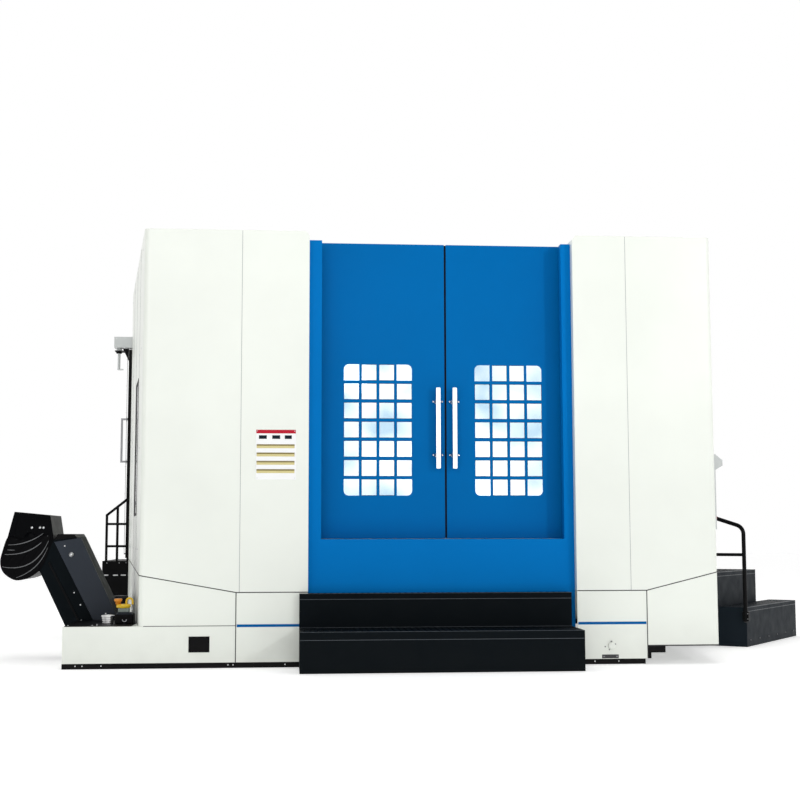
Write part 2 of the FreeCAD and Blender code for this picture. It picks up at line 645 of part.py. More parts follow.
def right_stairs():
    """Corner stair at the right wall: a low tread and a landing cut to the wall."""
    place = {"x": "stair_x", "y": "stair_y", "axis": "z", "angle": "stair_turn"}
    tread = tray("stair_tread_box", (0, "stair_long"), (0, "stair_tread"), (0, "stair_low"),
                 "sheet", "z")
    low = put(group("stair_low_box", [tread]), **place)
    outer = put(group("landing_outer", [span(
        "landing_block", (0, "landing_long"), ("stair_tread + fit_gap", "landing_deep"),
        (0, "landing_high"))]), **place)
    inner = put(group("landing_inner", [span(
        "landing_hollow", ("sheet", "landing_long - sheet"), ("stair_tread + 2 * sheet", "landing_deep"),
        (0, "landing_high - sheet"))]), **place)
    outer_cut = cut("landing_skin", outer, [wall_room("landing_room", "fit_gap")])
    inner_cut = cut("landing_space", inner, [wall_room("landing_room_inner", "sheet + fit_gap")])
    landing = cut("landing", outer_cut, [inner_cut])
    group("right_stairs", [low, landing])


def wall_room(name, gap):
    """The space that the right side wall and what lies inside it take, with a gap outside it."""
    reach = "(2 * flare_run)"
    start = f"right_corner - ({reach} - ({gap})) * cos(flare)"
    return box(name, (start, f"({reach} - ({gap})) * sin(flare)", 0),
               (reach, reach, "cab_top"), "z", "-flare")


def handrail_height(along):
    """Height of the sloping top rail's middle line at a distance from the post."""
    flat = "rail_high - rail_bend + rail_bend * cos(rail_slope)"
    return f"({flat} + (({along}) - rail_bend * (1 - sin(rail_slope))) * tan(rail_slope))"


def right_handrail():
    """Bent tube handrail beside the stair: a post, a rising top rail and a middle rail."""
    line = "-(rail_round + rail_clear)"
    post = rod("handrail_post", "z", (line, 0, "rail_foot - rail_tail"), "rail_round",
               "rail_high - rail_bend - rail_foot + rail_tail")
    elbow = doc.addObject("Part::Torus", "handrail_elbow")
    bind(elbow, Radius1="rail_bend", Radius2="rail_round", Angle3="90 - rail_slope")
    elbow.Placement = FreeCAD.Placement(VECTOR(), FreeCAD.Rotation(-AXES["y"], AXES["z"], -AXES["x"]))
    bind(elbow, Placement__Base__x=line, Placement__Base__y="rail_bend",
         Placement__Base__z="rail_high - rail_bend")
    start = "rail_bend * (1 - sin(rail_slope))"
    top = doc.addObject("Part::Cylinder", "handrail_top")
    bind(top, Radius="rail_round", Height=f"(rail_reach - {start}) / cos(rail_slope)")
    put(top, line, start, handrail_height(start), "x", "rail_slope - 90")
    middle = rod("handrail_middle", "y", (line, 0, "rail_mid"), "rail_thin", "rail_reach")
    wide = (f"{line} - seat_lap", "-fit_gap")
    flange = span("handrail_flange", wide, ("-seat_half", "seat_half"),
                  ("rail_foot - seat_high", "rail_foot + seat_high"))
    at = "(rail_reach - back_post)"
    low = "(landing_high - back_drop)"
    back = rod("handrail_back_post", "z", (line, at, f"{low} - rail_tail"), "rail_thin",
               f"{handrail_height(at)} - {low} + rail_tail")
    seat = span("handrail_seat", wide, (f"{at} - seat_half", f"{at} + seat_half"),
                (f"{low} - seat_high", f"{low} + seat_high"))
    rail = fuse("handrail_local", [post, elbow, top, middle, flange, back, seat])
    put(group("right_handrail", [rail]), "stair_x", "stair_y", 0, "z", "stair_turn")


def left_deck():
    """Service platform under the left door, and the barred fence at its front."""
    tray("left_platform", ("-deck_out", f"-({rear_x('left')} + fit_gap)"),
         ("deck_front", "deck_front + deck_long"), (0, "deck_top"), "sheet", "z")
    rise = "(fence_high - fence_low)"
    inner = wall_x("left", "flare_run")
    run = f"(deck_out - fence_bar - {inner})"
    points = [
        ("-deck_out + fence_bar", "deck_top"),
        (f"-{inner}", "deck_top"),
        (f"-{inner}", "fence_high"),
        ("-deck_out + fence_bar", "fence_low"),
    ]
    sheet_plan = pad("fence_outline", "XZ", points, "fence_bar")
    put(sheet_plan, y="deck_front + fence_bar / 2")
    clear = "fence_bar"
    column = f"({run} - 3 * {clear}) / 2"
    heights = [("deck_top - lap", "deck_top + fence_row"),
               (f"deck_top + fence_row + {clear}", "deck_top + fence_second"),
               (f"deck_top + fence_second + {clear}", None)]
    holes = []
    for number in range(2):
        start = f"-deck_out + fence_bar + {clear} + {number} * ({column} + {clear})"
        for row, (low, high) in enumerate(heights):
            if high:
                holes.append(span(f"fence_hole_{number}{row}", (start, f"{start} + {column}"),
                                  ("deck_front", "deck_front + 3 * fence_bar"), (low, high)))
                continue
            begin = f"({clear} + {number} * ({column} + {clear}))"
            finish = f"({begin} + {column})"
            rake = f"fence_low - fence_skew * {clear} + {rise} / {run}"
            top = [
                (start, low),
                (f"{start} + {column}", low),
                (f"{start} + {column}", f"{rake} * {finish}"),
                (start, f"{rake} * {begin}"),
            ]
            hole = pad(f"fence_hole_{number}{row}", "XZ", top, "3 * fence_bar")
            holes.append(put(hole, y="deck_front"))
    cut("left_rail", sheet_plan, holes)


# ---- left service door -----------------------------------------------------------------------
def service_door():
    """Frame, hinged leaf and pull handle of the left service door, and the arm above it."""
    face = rear_x("left")
    y = ("hatch_front - hatch_frame", "hatch_front + hatch_long + hatch_frame")
    z = ("hatch_low - hatch_frame / 3", "hatch_high + hatch_frame")
    outer = span("hatch_frame_outer", (f"-({face} + hatch_proud)", f"-({face} + fit_gap)"), y, z)
    hole = span("hatch_frame_hole", (f"-({face} + 2 * hatch_proud)", f"-({face} - sheet)"),
                ("hatch_front", "hatch_front + hatch_long"), ("hatch_low", "hatch_high"))
    back = f"({face} + hatch_proud - hatch_inset - hatch_thick)"
    leaf_y = ("hatch_front + hatch_gap", "hatch_front + hatch_long - hatch_gap")
    leaf = span("hatch_leaf", (f"-({back} + hatch_thick)", f"-{back}"), leaf_y,
                ("hatch_low + hatch_gap", "hatch_high - hatch_gap"))
    recess = span("hatch_leaf_recess", (f"-({back} + hatch_thick - sheet)", f"-{back}"),
                  (f"{leaf_y[0]} + sheet", f"{leaf_y[1]} - sheet"),
                  ("hatch_low + hatch_gap + sheet", "hatch_high - hatch_gap - sheet"))
    fixed, moving = hinges(face, back)
    fuse("left_door_frame", [cut("hatch_frame_bars", outer, [hole])] + fixed)
    fuse("left_side_door", [cut("hatch_tray", leaf, [recess])] + moving)
    foot = f"({back} + hatch_thick)"
    centre = "hatch_front + hatch_gap + pull_inset"
    wide = (f"{centre} - pull_bar / 2", f"{centre} + pull_bar / 2")
    bar = span("pull_grip", (f"-({foot} + pull_reach)", f"-({foot} + pull_reach - pull_bar)"), wide,
               ("pull_low", "pull_high"))
    reach = (f"-({foot} + pull_reach)", f"-{foot}")
    legs = [
        span(f"pull_leg_{number}", reach, wide, (low, f"{low} + pull_bar"))
        for number, low in enumerate(("pull_low", "pull_high - pull_bar"))
    ]
    fuse("left_side_handle", [bar] + legs)
    overhead(face)


def hinges(face, back):
    """Knuckles of the service door: three on the leaf, each between two on the frame."""
    x = f"-({face} + hatch_proud + knuckle_out)"
    edge = "(hatch_front + hatch_long)"
    y = f"({edge} + knuckle_round)"
    fixed, moving = [], []
    for number in range(3):
        low = f"(knuckle_low + {number} * knuckle_step)"
        high = f"({low} + knuckle_long)"
        moving.append(rod(f"leaf_knuckle_{number}", "z", (x, y, low), "knuckle_round", "knuckle_long"))
        moving.append(span(f"leaf_strap_{number}", (f"{x} - strap_thick / 2", f"{x} + strap_thick"),
                           (f"{edge} - strap_reach", y), (low, high)))
        moving.append(span(f"leaf_block_{number}", (f"{x} - strap_thick / 2", f"-({back} + lap)"),
                           (f"{edge} - strap_reach", f"{edge} - hatch_gap"), (low, high)))
        for end, start in enumerate((f"{low} - run_gap - knuckle_long / 2", f"{high} + run_gap")):
            fixed.append(rod(f"frame_knuckle_{number}{end}", "z", (x, y, start), "knuckle_round",
                             "knuckle_long / 2"))
            fixed.append(span(f"frame_lug_{number}{end}", (x, f"-({face} + hatch_proud - lap)"),
                              (y, f"{y} + knuckle_round"), (start, f"{start} + knuckle_long / 2")))
    return fixed, moving


def overhead(face):
    """Light box above the door with a drop tube that turns under it."""
    body = span("overhead_box", ("-arm_out", f"-({face} + fit_gap)"),
                ("arm_front", "arm_front + arm_deep"), ("arm_low", "arm_high"))
    collar = rod("overhead_collar", "z", ("-drop_x", "drop_y", "arm_low - collar_high"),
                 "collar_round", "collar_high")
    fuse("overhead_arm", [body, collar])
    low = "arm_low - collar_high - turn_gap - drop_long"
    tube = rod("drop_tube", "z", ("-drop_x", "drop_y", low), "drop_round", "drop_long")
    foot = span("drop_foot_plate", ("-drop_x - drop_round", "-drop_x + drop_foot - drop_round"),
                ("drop_y - drop_round", "drop_y + drop_round"), (f"{low} - drop_plate", low))
    fuse("pendant_tube", [tube, foot])


# ---- bed and axes ----------------------------------------------------------------------------
def four_strips(name, wide, inset, z):
    """Two strips along the table's travel and two along the column's."""
    strips = []
    along = (f"bed_front + {inset}", f"cross_front - way_end + way_inset - {inset}")
    for number, sign in enumerate(("-", "")):
        across = (f"{sign}table_way - {wide} / 2", f"{sign}table_way + {wide} / 2")
        strips.append(span(f"table_{name}_{number}", across, along, z))
    along = (f"-cross_half + {inset}", f"cross_half - {inset}")
    for number, middle in enumerate(("column_way_front", "column_way_back")):
        deep = (f"{middle} - {wide} / 2", f"{middle} + {wide} / 2")
        strips.append(span(f"column_{name}_{number}", along, deep, z))
    return strips


def bed():
    """T-shaped ribbed casting with raised ways."""
    points = [
        ("-arm_half", "bed_front"), ("arm_half", "bed_front"), ("arm_half", "cross_front"),
        ("cross_half", "cross_front"), ("cross_half", "cross_back"), ("-cross_half", "cross_back"),
        ("-cross_half", "cross_front"), ("-arm_half", "cross_front"),
    ]
    block = put(pad("bed_block", "XY", points, "bed_top - foot_high"), z="foot_high")
    under = ("foot_high", "bed_top - bed_deck")
    half = "bed_wall / 2"
    arm_middle = "(bed_front + cross_front) / 2"
    wide = ("-arm_half + bed_wall", "arm_half - bed_wall")
    rooms = (("bed_front + bed_wall", f"{arm_middle} - {half}"),
             (f"{arm_middle} + {half}", "cross_front - bed_wall"))
    hollows = [span(f"bed_hollow_arm_{i}", wide, room, under) for i, room in enumerate(rooms)]
    deep = ("cross_front + bed_wall", "cross_back - bed_wall")
    cells = (("-cross_half + bed_wall", f"-arm_half - {half}"),
             (f"-arm_half + {half}", f"arm_half - {half}"),
             (f"arm_half + {half}", "cross_half - bed_wall"))
    hollows += [span(f"bed_hollow_cross_{i}", x, deep, under) for i, x in enumerate(cells)]
    ways = four_strips("way", "way_wide", "way_inset", ("bed_top", "way_top"))
    cut("bed", fuse("bed_solid", [block] + ways), hollows)


def levelling_feet():
    """Round levelling feet under the rim of the bed."""
    inset = "bed_wall / 2"
    spots = []
    for sign in ("-", ""):
        for y in (f"bed_front + {inset}", "(bed_front + cross_front) / 2"):
            spots.append((f"{sign}(arm_half - {inset})", y))
        for y in (f"cross_front + {inset}", f"cross_back - {inset}"):
            spots.append((f"{sign}(cross_half - {inset})", y))
            spots.append((f"{sign}arm_half", y))
    feet = [rod(f"foot_{i}", "z", (x, y, 0), "foot_round", "foot_high") for i, (x, y) in enumerate(spots)]
    group("levelling_feet", feet)


def bed_rails():
    """Four linear guide rails on the ways of the bed."""
    top = ("way_top", "way_top + rail_thick")
    group("bed_rails", four_strips("rail", "rail_wide", "rail_inset", top))


def carriage(name, along, middle, low, rail_low):
    """Four-walled carriage block that straddles a rail, from the rail's foot up to a seat."""
    halves = {"x": ("block_long / 2", "block_wide / 2"), "y": ("block_wide / 2", "block_long / 2")}
    groove = "(rail_wide / 2 + run_gap)"
    grooves = {"x": ("block_long", groove), "y": (groove, "block_long")}
    outside = [(f"{at} - {half}", f"{at} + {half}") for at, half in zip(middle, halves[along])]
    inside = [(f"{at} - {half}", f"{at} + {half}") for at, half in zip(middle, grooves[along])]
    block = span(name, *outside, (f"{rail_low} + run_gap", low))
    slot = span(name + "_slot", *inside, (rail_low, f"{rail_low} + rail_thick + run_gap"))
    return block, slot


def table():
    """Table saddle with its carriages and nut, the rotary table and the pallet."""
    plate = span("saddle_plate", ("-saddle_half", "saddle_half"),
                 ("table_y - saddle_long", "table_y + saddle_long"), ("saddle_low", "saddle_top"))
    blocks, slots = [], []
    rows = ("table_y - saddle_long + block_long", "table_y + saddle_long - block_long")
    for i, x in enumerate(("-table_way", "table_way")):
        for k, y in enumerate(rows):
            block, slot = carriage(f"saddle_block_{i}{k}", "y", (x, y), "saddle_low", "way_top")
            blocks.append(block)
            slots.append(slot)
    nut = span("table_nut", ("-nut_wide / 2", "nut_wide / 2"),
               ("table_y - nut_wide", "table_y + nut_wide"), ("way_top - nut_wide / 2", "saddle_low"))
    bore = rod("table_nut_bore", "y", (0, "table_y - 2 * nut_wide", "way_top"),
               "screw_round + screw_gap", "4 * nut_wide")
    cut("table_saddle", fuse("saddle_solid", [plate, nut] + blocks), slots + [bore])
    base = rod("rotor_base", "z", (0, "table_y", "saddle_top + turn_gap"), "rotor_round",
               "rotor_top - saddle_top - turn_gap - rotor_crown")
    crown = rod("rotor_neck", "z", (0, "table_y", "rotor_top - rotor_crown"),
                "rotor_round - rotor_step", "pallet_low - rotor_top + rotor_crown")
    fuse("rotary_table", [base, crown])
    pallet()


def pallet():
    """Square pallet with cut corners, a centre bore and four clamping holes."""
    half, chop = "pallet_half", "(pallet_half - pallet_cut)"
    points = [
        (f"-{chop}", f"-{half}"), (chop, f"-{half}"), (half, f"-{chop}"), (half, chop),
        (chop, half), (f"-{chop}", half), (f"-{half}", chop), (f"-{half}", f"-{chop}"),
    ]
    plate = put(pad("pallet_plate", "XY", points, "pallet_top - pallet_low"), y="table_y", z="pallet_low")
    holes = [rod("pallet_centre_bore", "z", (0, "table_y", "pallet_top - bore_deep"), "pallet_bore",
                 "bore_deep + lap")]
    for i, x in enumerate(("-clamp_half", "clamp_half")):
        for k, y in enumerate(("table_y - clamp_half", "table_y + clamp_half")):
            holes.append(rod(f"pallet_clamp_{i}{k}", "z", (x, y, "pallet_top - clamp_deep"),
                             "clamp_bore", "clamp_deep + lap"))
    cut("pallet", plate, holes)


def screw_ends():
    """Start and end of the table and column screws."""
    end = "cross_half - column_screw_start - motor_long - bearing_long"
    return {
        "table": ("bed_front + screw_start", "cross_front - screw_end"),
        "column": ("-cross_half + column_screw_start", end),
    }


def screws():
    """Ball screws of the two bed axes with their bearing blocks and motors."""
    start, end = screw_ends()["table"]
    rod("table_screw", "y", (0, start, "way_top"), "screw_round", f"{end} - ({start})")
    middle = "(column_way_front + column_way_back) / 2"
    low, high = screw_ends()["column"]
    rod("column_screw", "x", (low, middle, "way_top"), "screw_round", f"{high} - ({low})")
    half = "bearing_wide / 2"
    solids = []
    z = ("bed_top", f"way_top + {half}")
    gap = "screw_round + screw_gap"
    beyond = f"bearing_long + 2 * {half}"
    spots = (f"{start} + bearing_inset", f"{end} - bearing_inset - bearing_long")
    for number, at in enumerate(spots):
        block = span(f"table_bearing_{number}", (f"-{half}", half), (at, f"{at} + bearing_long"), z)
        hole = rod(f"table_bearing_bore_{number}", "y", (0, f"{at} - {half}", "way_top"), gap, beyond)
        solids.append(cut(f"table_bearing_block_{number}", block, [hole]))
    spots = (f"{low} + bearing_inset", f"{high} - bearing_inset - bearing_long")
    for number, at in enumerate(spots):
        block = span(f"column_bearing_{number}", (at, f"{at} + bearing_long"),
                     (f"{middle} - {half}", f"{middle} + {half}"), z)
        hole = rod(f"column_bearing_bore_{number}", "x", (f"{at} - {half}", middle, "way_top"), gap,
                   beyond)
        solids.append(cut(f"column_bearing_block_{number}", block, [hole]))
    wide = "motor_wide / 2"
    top = ("way_top - motor_wide / 2", "way_top + motor_wide / 2")
    solids.append(span("table_motor", (f"-{wide}", wide), (f"{end} + turn_gap", f"{end} + motor_long"), top))
    solids.append(span("column_motor", (f"{high} + turn_gap", f"{high} + motor_long"),
                       (f"{middle} - {wide}", f"{middle} + {wide}"), top))
    group("bed_drives", solids)


def column():
    """Portal column on four carriages, with a nut for its screw."""
    middle = "(column_way_front + column_way_back) / 2"
    deep = ("column_front", "column_back")
    base = span("column_foot", ("-column_half", "column_half"), deep, ("column_low", "column_base"))
    z = ("column_base", "column_top")
    posts = [
        span("column_post_left", ("-column_half", "-column_half + post_wide"), deep, z),
        span("column_post_right", ("column_half - post_wide", "column_half"), deep, z),
    ]
    beam = span("column_head", ("-column_half", "column_half"), deep, ("column_beam", "column_top"))
    blocks, slots = [], []
    for i, x in enumerate(("-column_half + block_long", "column_half - block_long")):
        for k, y in enumerate(("column_way_front", "column_way_back")):
            block, slot = carriage(f"column_block_{i}{k}", "x", (x, y), "column_low", "way_top")
            blocks.append(block)
            slots.append(slot)
    nut = span("column_nut", ("-nut_wide", "nut_wide"),
               (f"{middle} - nut_wide / 2", f"{middle} + nut_wide / 2"),
               ("way_top - nut_wide / 2", "column_low"))
    bore = rod("column_nut_bore", "x", ("-2 * nut_wide", middle, "way_top"), "screw_round + screw_gap",
               "4 * nut_wide")
    cut("column", fuse("column_solid", [base, beam, nut] + posts + blocks), slots + [bore])
    rails = []
    for number, sign in enumerate(("-", "")):
        across = (f"{sign}head_way - rail_wide / 2", f"{sign}head_way + rail_wide / 2")
        rails.append(span(f"head_rail_{number}", across, ("column_front - head_rail", "column_front"),
                          ("head_low", "column_top - 2 * rail_inset")))
    group("head_rails", rails)


def head_screw_place():
    """X and Y of the upright screw, beside the head's tail and behind the column's front."""
    return "(tail_half + head_screw_out)", "(column_front + head_screw_back)"


def head_drive():
    """Upright ball screw of the head with its motor on the column's beam."""
    x, y = head_screw_place()
    low = "(column_base + head_screw_rise)"
    high = "(column_beam - bearing_inset)"
    rod("head_screw", "z", (x, y, low), "screw_round", f"{high} - {low}")
    across = (f"{x} - head_bearing_half", f"{x} + head_bearing_half")
    deep = (f"{y} - head_bearing_deep", f"{y} + head_bearing_deep")
    foot = span("head_bearing", across, deep, ("column_base", f"{low} - turn_gap"))
    top = span("head_gear", across, deep, (f"{high} + turn_gap", "column_beam"))
    motor = span("head_motor_body", (f"{x} - motor_wide / 2", f"{x} + motor_wide / 2"),
                 (f"{y} - head_bearing_deep", f"{y} + motor_wide - head_bearing_deep"),
                 ("column_top", "column_top + head_motor"))
    group("head_drives", [foot, top, motor])


def headstock():
    """Headstock: plate on the upright rails, front ram with the spindle bore, and rear housing."""
    z = ("spindle_z - head_half", "spindle_z + head_half")
    plate = span("head_plate", ("-plate_half", "plate_half"), ("plate_front", "plate_back"),
                 ("spindle_z - plate_high", "spindle_z + plate_high"))
    front = span("head_body", ("-head_half", "head_half"), ("head_front", "plate_front"), z)
    ram = rod("head_ram", "y", (0, "nose_y", "spindle_z"), "ram_round", "head_front - nose_y")
    tail = span("head_tail", ("-tail_half", "tail_half"), ("plate_back", "tail_end"),
                ("spindle_z - tail_half", "spindle_z + tail_half"))
    blocks, slots = [], []
    heights = (("spindle_z - plate_high", "spindle_z - plate_high + block_long"),
               ("spindle_z + plate_high - block_long", "spindle_z + plate_high"))
    groove = "rail_wide / 2 + run_gap"
    for i, sign in enumerate(("-", "")):
        x = f"{sign}head_way"
        for k, height in enumerate(heights):
            across = (f"{x} - block_wide / 2", f"{x} + block_wide / 2")
            blocks.append(span(f"head_block_{i}{k}", across,
                               ("plate_back", "column_front - run_gap"), height))
        slots.append(span(f"head_slot_{i}", (f"{x} - ({groove})", f"{x} + {groove}"),
                          ("column_front - head_rail - run_gap", "column_front"),
                          ("spindle_z - 2 * plate_high", "spindle_z + 2 * plate_high")))
    x, y = head_screw_place()
    nut = span("head_nut", ("tail_half - nut_lap", f"{x} + head_bearing_half"),
               ("plate_back", f"{y} + nut_behind"),
               ("spindle_z - nut_wide", "spindle_z + nut_wide"))
    bore = rod("head_nut_bore", "z", (x, y, "spindle_z - 2 * nut_wide"), "screw_round + screw_gap",
               "4 * nut_wide")
    hole = rod("spindle_bore", "y", (0, "nose_y - lap", "spindle_z"), "spindle_round + screw_gap",
               "spindle_long + 2 * lap")
    cut("headstock", fuse("head_solid", [plate, front, ram, tail, nut] + blocks), slots + [bore, hole])


def spindle():
    """Spindle with a tapered nose bore, four bolt holes and a key across the nose."""
    body = doc.addObject("PartDesign::Body", "spindle_turned")
    points = [
        ("taper_round", 0), ("spindle_round", 0), ("spindle_round", "spindle_long"),
        (0, "spindle_long"), (0, "taper_long"), ("taper_end", "taper_long"),
    ]
    sketch = outline(body, "XY", points)
    turned = body.newObject("PartDesign::Revolution", "spindle_revolution")
    turned.Profile = sketch
    turned.ReferenceAxis = (sketch, ["V_Axis"])
    turned.Angle = 360
    put(body, 0, "nose_y", "spindle_z")
    holes = []
    reach = "nose_circle * cos(45)"
    for i, x in enumerate((f"-{reach}", reach)):
        for k, z in enumerate((f"spindle_z - {reach}", f"spindle_z + {reach}")):
            holes.append(rod(f"nose_hole_{i}{k}", "y", (x, "nose_y - lap", z), "nose_bolt",
                             "nose_deep + lap"))
    cut("spindle", body, holes)


# ---- tool changer ----------------------------------------------------------------------------
def tool_changer():
    """Stand and beam, the turning tool disc with its pots, and the swinging changer arm."""
    half = "stand_wide / 2"
    back = "(store_back + stand_back)"
    z = ("store_z - beam_half", "store_z + beam_half")
    stand = span("stand_post", (f"-store_x - {half}", f"-store_x + {half}"),
                 (back, f"{back} + stand_deep"), (0, "stand_top"))
    foot = span("stand_foot", (f"-store_x - {half} - foot_lap", f"-store_x + {half} + foot_lap"),
                (f"{back} - foot_lap", "cross_front - cross_before - plinth_wide / 2"),
                (0, "stand_foot"))
    hub = rod("stand_hub", "y", ("-store_x", "store_back + turn_gap", "store_z"), "hub_round",
              "stand_back - turn_gap")
    beam = span("changer_beam", (f"-store_x + {half} - beam_lap", "-swing_x + swing_half"),
                ("head_front + beam_gap", "head_front + beam_deep"), z)
    gear = span("changer_gear", ("-swing_x - swing_half", "-swing_x + swing_half"),
                ("swing_front", "head_front + beam_gap"), z)
    fuse("magazine_frame", [stand, foot, hub, beam, gear])
    front = "(store_back - store_thick)"
    plate = rod("disc_plate", "y", ("-store_x", front, "store_z"), "store_round", "store_thick")
    pots = []
    for number in range(POTS):
        turn = 360 * number / POTS
        spot = (f"-store_x + pot_ring * cos({turn})", f"{front} - pot_long",
                f"store_z + pot_ring * sin({turn})")
        pots.append(rod(f"pot_{number}", "y", spot, "pot_round", "pot_long"))
    fuse("tool_disc", [plate] + pots)
    start = "(swing_front - turn_gap - swing_thick)"
    centre = rod("changer_hub", "y", ("-swing_x", start, "store_z"), "hub_round", "swing_thick")
    bar = span("changer_bar", ("-swing_x - swing_bar", "-swing_x + swing_bar"),
               (start, f"{start} + swing_thick"),
               ("store_z - swing_reach", "store_z + swing_reach"))
    notches = []
    for i, sign in enumerate("-+"):
        spot = ("-swing_x + swing_bar", f"{start} - lap", f"store_z {sign} (swing_reach - swing_end)")
        notches.append(rod(f"changer_grip_{i}", "y", spot, "swing_grip", "swing_thick + 2 * lap"))
    cut("changer_arm", fuse("changer_solid", [centre, bar]), notches)


# ---- chips and coolant -----------------------------------------------------------------------
def climb_x(foot, height, low):
    """X of a sloping line of the conveyor at a height, from its foot at a lower height."""
    return f"(-({foot}) - (({height}) - ({low})) / tan(climb))"


def conveyor_outline():
    """Front view of the conveyor's casing: a level trough and a climbing part cut off at the hood."""
    return [
        ("trough_right", "trough_low"),
        ("trough_right", "trough_high"),
        ("-climb_right", "trough_high"),
        (climb_x("climb_right", "climb_top", "trough_high"), "climb_top"),
        ("-neck_x", "neck_z"),
        ("-lip_x", "lip_z"),
        ("-tank_left", "trough_low"),
    ]


def conveyor_space():
    """Front view of the room inside the casing, run on past its end so that it opens to the hood."""
    skin, wide = "trough_skin", "trough_skin * 1.2"
    return [
        (f"trough_right - {skin}", f"trough_low + {skin}"),
        (f"trough_right - {skin}", f"trough_high - {skin}"),
        (f"-climb_right - {wide}", f"trough_high - {skin}"),
        (f"{climb_x('climb_right', 'climb_top', 'trough_high')} - {wide}", f"climb_top - {wide}"),
        (f"-neck_x - 2 * {skin}", f"neck_z - {wide}"),
        (f"-lip_x - {skin}", f"lip_z + 3 * {skin}"),
        (f"-tank_left + {wide}", f"trough_low + {skin}"),
    ]


def conveyor():
    """Chip conveyor: a trough and a climbing casing of welded plates, and the hood on top."""
    outside = put(pad("trough_outside", "XZ", conveyor_outline(), "trough_deep"), y="trough_front")
    inside = put(pad("trough_inside", "XZ", conveyor_space(), "trough_deep - 2 * trough_skin"),
                 y="trough_front + trough_skin")
    mouth = span("trough_mouth", ("-trough_open", "trough_right - 2 * trough_skin"),
                 ("trough_front + trough_skin", "trough_front + trough_deep - trough_skin"),
                 ("trough_high - 2 * trough_skin", "trough_high + lap"))
    whole = cut("casing_whole", outside, [inside, mouth])
    far = "trough_front + trough_deep"
    rooms = {
        "trough": ("-climb_right", "trough_right", "trough_front", far),
        "climb_front": ("-nose_x", "-climb_right", "trough_front", "trough_front + trough_skin"),
        "climb_middle": ("-nose_x", "-climb_right", "trough_front + trough_skin",
                         f"{far} - trough_skin"),
        "climb_back": ("-nose_x", "-climb_right", f"{far} - trough_skin", far),
    }
    plates = []
    for name, (left, right, near, end) in rooms.items():
        room = span(f"{name}_room", (left, right), (near, end), ("trough_low", "hood_z"))
        plates.append(common(f"{name}_plates", whole, room))
    group("conveyor_casing", plates)
    hood()
    shaft()


def hood():
    """Discharge hood, open to the casing and underneath at its outer end."""
    points = [
        ("-hood_x", "hood_z"), ("-crown_x", "crown_z"), ("-nose_x", "nose_z"), ("-chin_x", "chin_z"),
        ("-lip_x", "lip_z"), ("-neck_x", "neck_z"),
    ]
    gap = "trough_skin"
    inner = [
        (f"-hood_x - {gap}", f"hood_z - {gap}"), (f"-crown_x + {gap}", f"crown_z - {gap}"),
        (f"-nose_x + {gap}", f"nose_z - 2 * {gap}"), (f"-chin_x - 2 * {gap}", f"chin_z + {gap}"),
        (f"-lip_x + 2 * {gap}", f"lip_z + 2 * {gap}"), (f"-neck_x + {gap}", f"neck_z - 2 * {gap}"),
        (f"-neck_x - {gap}", f"neck_z + {gap}"),
    ]
    outer = put(pad("hood_outside", "XZ", points, "trough_deep"), y="trough_front")
    hollow = put(pad("hood_inside", "XZ", inner, "trough_deep - 2 * trough_skin"),
                 y="trough_front + trough_skin")
    far = "trough_front + trough_deep"
    hole = rod("hood_shaft_hole", "y", ("-shaft_x", f"{far} - 2 * trough_skin", "shaft_z"),
               "shaft_round + run_gap", "3 * trough_skin")
    near = rod("hood_boss_hole", "y", ("-shaft_x", "trough_front - trough_skin", "shaft_z"),
               "shaft_round + run_gap", "3 * trough_skin")
    cut("conveyor_hood", outer, [hollow, hole, near])


def shaft():
    """Head shaft with two sprockets, and the gear motor on the hood's far side."""
    far = "(trough_front + trough_deep)"
    bar = rod("head_shaft_bar", "y", ("-shaft_x", "trough_front", "shaft_z"), "shaft_round",
              f"{far} + shaft_end - trough_front")
    spots = ("trough_front + sprocket_inset", f"{far} - sprocket_inset - sprocket_thick")
    wheels = [
        rod(f"sprocket_{i}", "y", ("-shaft_x", at, "shaft_z"), "sprocket_round", "sprocket_thick")
        for i, at in enumerate(spots)
    ]
    fuse("conveyor_shaft", [bar] + wheels)
    half = "gear_wide / 2"
    gear = span("gear_box", (f"-shaft_x - {half}", f"-shaft_x + {half}"),
                (f"{far} + fit_gap", f"{far} + gear_long"),
                (f"shaft_z - {half}", f"shaft_z + {half}"))
    bore = rod("gear_bore", "y", ("-shaft_x", far, "shaft_z"), "shaft_round + run_gap",
               "shaft_end + run_gap + lap")
    spot = ("-shaft_x", f"{far} + gear_long / 2", f"shaft_z - {half} - gear_motor_long")
    motor = rod("gear_motor", "z", spot, "gear_motor_round", "gear_motor_long + lap")
    cut("conveyor_drive", fuse("gear_solid", [gear, motor]), [bore])


